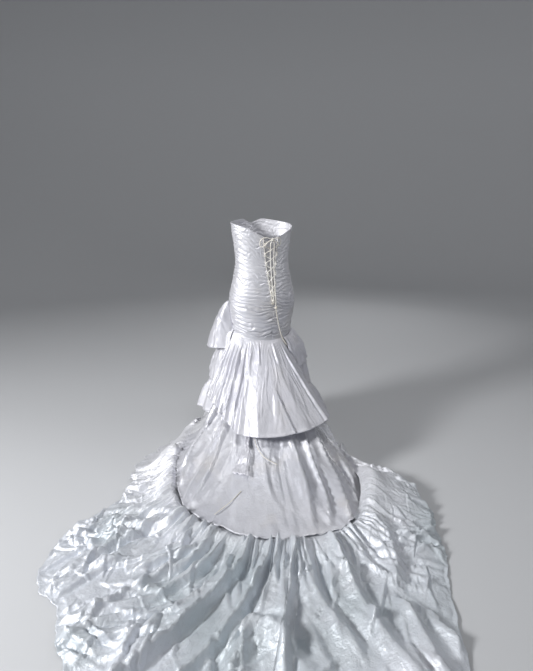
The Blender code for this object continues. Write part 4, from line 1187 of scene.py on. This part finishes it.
def satin(name, light, cool, warm, roughness, crumple, crinkle, grain_turn=0.0, metal=0.34, stretch=1.0,
          painted_light_reach=0.0, along_thread=0.0):
    """Satin: a fine ribbed weave, small sharp crinkles, soft sheen and slow changes of colour.

    Crumple and crinkle are the strengths of the broad and the small bumps, which are longer upright
    where stretch is under 1. Painted light: out to the given reach the cloth is painted the train's pale
    colour, and 0.4 m further out its own cooler colours stand in for the cool tint of the light on the
    outer train. Highlights spread across the threads by along_thread.
    """
    material, tree, shader, spot = new_material(name)
    tint = ranged(tree, speckle(tree, spot, 2.6, 2.0), 0.38, 0.64)
    shown = mixed(tree, tint, (*light, 1.0), (*cool, 1.0))
    warmth = ranged(tree, speckle(tree, spot, 5.5, 3.0), 0.56, 0.80, 0.0, 0.55)
    shown = mixed(tree, warmth, shown, (*warm, 1.0))
    # Painted light: paler near the upright, and the cloth's own cooler colours further out, for the cool tint
    # of the light on the outer train.
    if painted_light_reach > 0.0:
        level = scaled(tree, spot, (1.0, 1.0, 0.0))
        reach = add(tree, "ShaderNodeVectorMath", {0: level}, operation="LENGTH").outputs["Value"]
        shown = mixed(tree, ranged(tree, reach, painted_light_reach, painted_light_reach + 0.40), PAINTED_TRAIN_LIGHT, shown)
    tree.links.new(shown, shader.inputs["Base Color"])
    run = scaled(tree, spot, (1.0, 1.0, stretch))
    gloss = ranged(tree, speckle(tree, run, 30.0, 3.0), 0.3, 0.7, roughness - 0.06, roughness + 0.08)
    tree.links.new(gloss, shader.inputs["Roughness"])
    broad = speckle(tree, run, 17.0, 3.0, {"Roughness": 0.5, "Distortion": 1.2, "Offset": 1.0, "Gain": 2.0},
                    noise_type="RIDGED_MULTIFRACTAL")
    small = speckle(tree, run, 60.0, 4.0, {"Roughness": 0.6, "Distortion": 0.8})
    turned = add(tree, "ShaderNodeMapping", {"Vector": spot, "Rotation": (0.5, 0.4, grain_turn)})
    ribs = add(tree, "ShaderNodeTexWave", {"Vector": turned.outputs["Vector"], "Scale": 420.0,
                                           "Distortion": 1.2, "Detail": 1.0, "Detail Scale": 1.5})
    fine = bump(tree, small, crinkle, 0.0045, bump(tree, broad, crumple, 0.0050))
    weave = bump(tree, ribs.outputs["Fac"], 0.25, 0.00015, fine)
    tree.links.new(weave, shader.inputs["Normal"])
    shader.inputs["Metallic"].default_value = metal
    shader.inputs["Sheen Weight"].default_value = 0.10
    shader.inputs["Sheen Roughness"].default_value = 0.35
    shader.inputs["Specular IOR Level"].default_value = 0.60
    if along_thread > 0.0:
        shader.inputs["Anisotropic"].default_value = along_thread
        shader.inputs["Anisotropic Rotation"].default_value = 0.25
        round_upright = add(tree, "ShaderNodeTangent", direction_type="RADIAL", axis="Z")
        tree.links.new(round_upright.outputs["Tangent"], shader.inputs["Tangent"])
    return material


def plain(name, colour, roughness):
    material, tree, shader, spot = new_material(name)
    rough = ranged(tree, speckle(tree, spot, 1.2, 3.0), 0.0, 1.0, roughness - 0.04, roughness + 0.04)
    tree.links.new(rough, shader.inputs["Roughness"])
    shader.inputs["Base Color"].default_value = (*colour, 1.0)
    return material


def build_cloth():
    bodice = satin("bodice_satin", (0.71, 0.71, 0.75), (0.66, 0.66, 0.71), (0.70, 0.68, 0.66),
                   0.48, 0.06, 0.30, metal=0.42)
    flounce = satin("flounce_satin", (0.72, 0.72, 0.765), (0.65, 0.65, 0.71), (0.73, 0.71, 0.71),
                    0.46, 0.07, 0.40, grain_turn=0.4, stretch=0.25, along_thread=0.35)
    skirt = satin("skirt_satin", (0.77, 0.77, 0.81), (0.69, 0.70, 0.76), (0.79, 0.75, 0.71),
                  0.40, 0.08, 0.42, grain_turn=0.9, metal=0.38, stretch=0.22, along_thread=0.45)
    # The train's colour is painted paler near the upright, to stand in for how the light tints it.
    train = satin("train_satin", (0.74, 0.77, 0.83), (0.57, 0.62, 0.66), (0.75, 0.74, 0.78),
                  0.46, 0.20, 0.75, grain_turn=1.3, metal=0.36, painted_light_reach=0.60)
    shade = satin("shaded_satin", (0.82, 0.82, 0.86), (0.77, 0.78, 0.81), (0.83, 0.81, 0.79),
                  0.44, 0.10, 0.30, grain_turn=0.2)
    cloth("bodice_front", grid_of(front_looks, 100, 140), bodice)
    cloth("bodice_back_left", grid_of(back_half_looks(1), 60, 230),
          bodice)
    cloth("bodice_back_right", grid_of(back_half_looks(-1), 60, 230),
          bodice)
    cloth("modesty_panel", grid_of(modesty_looks, 30, 80),
          bodice)
    cloth("skirt_back", grid_of(skirt_looks(SKIRT_BACK), 210, 120),
          skirt)
    cloth("skirt_front", grid_of(skirt_looks(SKIRT_FRONT), 100, 60),
          shade)
    cloth("back_flounce", grid_of(back_flounce_looks, 260, 104, 0.9),
          flounce)
    for tier in FRONT_TIERS:
        cloth(tier.name, grid_of(front_tier_looks(tier), 230, 38),
              flounce)
    whole = grid_of(train_part(TRAIN_LEFT, TRAIN_RIGHT - 360.0), 520, 168)
    middle = int(round((whole.shape[1] - 1) * (TRAIN_LEFT - TRAIN_CENTRE) / (TRAIN_LEFT - TRAIN_RIGHT + 360.0)))
    cloth("train_left", whole[:, :middle + 1], train)
    cloth("train_right", whole[:, middle:], train)
    front = grid_of(train_part(TRAIN_RIGHT, TRAIN_LEFT), 290, 34)
    cloth("front_hem_flounce", front, train)
    cloth("train_tab", grid_of(tab_looks, 30, 50), flounce)


def build_laces():
    cream = satin("lace_satin", (0.82, 0.80, 0.76), (0.78, 0.75, 0.68), (0.74, 0.66, 0.54),
                  0.42, 0.02, 0.10, metal=0.15)
    for name, sign in (("loop_band_left", 1), ("loop_band_right", -1)):
        tube(name + "_loops", edge_trim(sign), TRIM_RADIUS, cream, [name])
    for name, side in (("lace_strand_left", 1), ("lace_strand_right", -1)):
        last = side if LACE_LEVELS % 2 == 1 else -side
        route = lace_strand(side) + [knot_end((0.6 * last, -0.25, -0.75), BOW_SINK)]
        tube(name + "_cord", [route], LACE_RADIUS, cream, [name])
    middle = back_spot(0.0, BOW_HEIGHT, BOW_LIFT)
    knot = [wound(middle, *winding) for winding in BOW_WINDINGS]
    tube("bow_knot_wrap", knot, LACE_RADIUS, cream, ["bow_knot"], 0.002)
    for name, sign, spots in (("bow_loop_left", 1, BOW_LOOP_LEFT), ("bow_loop_right", -1, BOW_LOOP_RIGHT)):
        upper, lower = [knot_end((0.94 * sign, rise, 0), BOW_SINK) for rise in (0.34, -0.34)]
        route = [upper] + [back_spot(*spot) for spot in spots] + [lower]
        tube(name + "_cord", [route], LACE_RADIUS, cream, [name])
    low = tube("lace_low_knot_wrap", [wound(back_spot(*LOW_KNOT), *LOW_WINDING)], KNOT_WIRE, cream,
               ["lace_low_knot"], 0.002)
    tails = (("lace_tail_left", TAIL_LEFT, 0.45, 0.288, []),
             ("lace_tail_right", TAIL_RIGHT, -0.45, 0.534, [low]))
    for name, spots, side, length, knots in tails:
        route = [knot_end((side, -0.9, 0.1))] + [back_spot(*spot) for spot in spots]
        cord = tube(name + "_cord", [route], LACE_RADIUS, cream, [name])
    for name, spots, length in (("train_tie_upper", UPPER_TIE, 0.265), ("train_tie_lower", LOWER_TIE, 0.154)):
        route = [on_skirt(*np.array(spot)) for spot in spots]
        cord = tube(name + "_cord", [route], TIE_RADIUS, cream, [name])


def build_studio():
    world = bpy.data.worlds.new("studio")
    bpy.context.scene.world = world
    world.use_nodes = True
    backdrop = world.node_tree.nodes["Background"]
    backdrop.inputs["Color"].default_value = AIR_COLOUR
    backdrop.inputs["Strength"].default_value = AIR_LIGHT
    bend = [(STAGE_FLAT + STAGE_BEND * math.sin(a), STAGE_BEND - STAGE_BEND * math.cos(a))
            for a in np.linspace(0.1, math.pi / 2, 12)]
    profile = [(STAGE_INNER, 0.0), (STAGE_FLAT, 0.0)] + bend + [(STAGE_FLAT + STAGE_BEND, STAGE_TOP)]
    steps = STAGE_SIDES
    turns = np.linspace(0.0, 2 * math.pi, steps, endpoint=False)
    points = [(STAGE_MIDDLE, STAGE_MIDDLE, -WAIST_HEIGHT)]
    points += [(STAGE_MIDDLE + reach * math.cos(a), STAGE_MIDDLE + reach * math.sin(a), rise - WAIST_HEIGHT)
               for reach, rise in profile for a in turns]
    faces = [(0, 1 + k, 1 + (k + 1) % steps) for k in range(steps)]
    for ring in range(len(profile) - 1):
        low = 1 + ring * steps
        faces += [(low + k, low + steps + k, low + steps + (k + 1) % steps, low + (k + 1) % steps)
                  for k in range(steps)]
    mesh = bpy.data.meshes.new("floor")
    mesh.from_pydata(points, [], faces)
    mesh.shade_smooth()
    mesh.materials.append(plain("floor_paint", STAGE_PAINT, 0.75))
    put("floor", mesh)
    for lamp in LAMPS:
        light = bpy.data.lights.new(lamp.name, "AREA")
        light.shape = "SQUARE"
        light.size = lamp.size
        light.energy = lamp.power
        thing = put(lamp.name, light)
        thing.location = lamp.spot
        thing.rotation_euler = (Vector(lamp.aim) - Vector(lamp.spot)).to_track_quat("-Z", "Y").to_euler()


def build_camera():
    lens = bpy.data.cameras.new("photo_view")
    lens.sensor_width = CAMERA_SENSOR
    lens.lens = CAMERA_LENS
    thing = put("photo_view", lens)
    thing.location = CAMERA_PLACE
    thing.rotation_euler = (CAMERA_TILT, 0.0, CAMERA_TURN)
    bpy.context.scene.camera = thing
    bpy.context.scene.view_settings.view_transform = "Standard"


build_camera()
build_laces()
build_cloth()
build_studio()
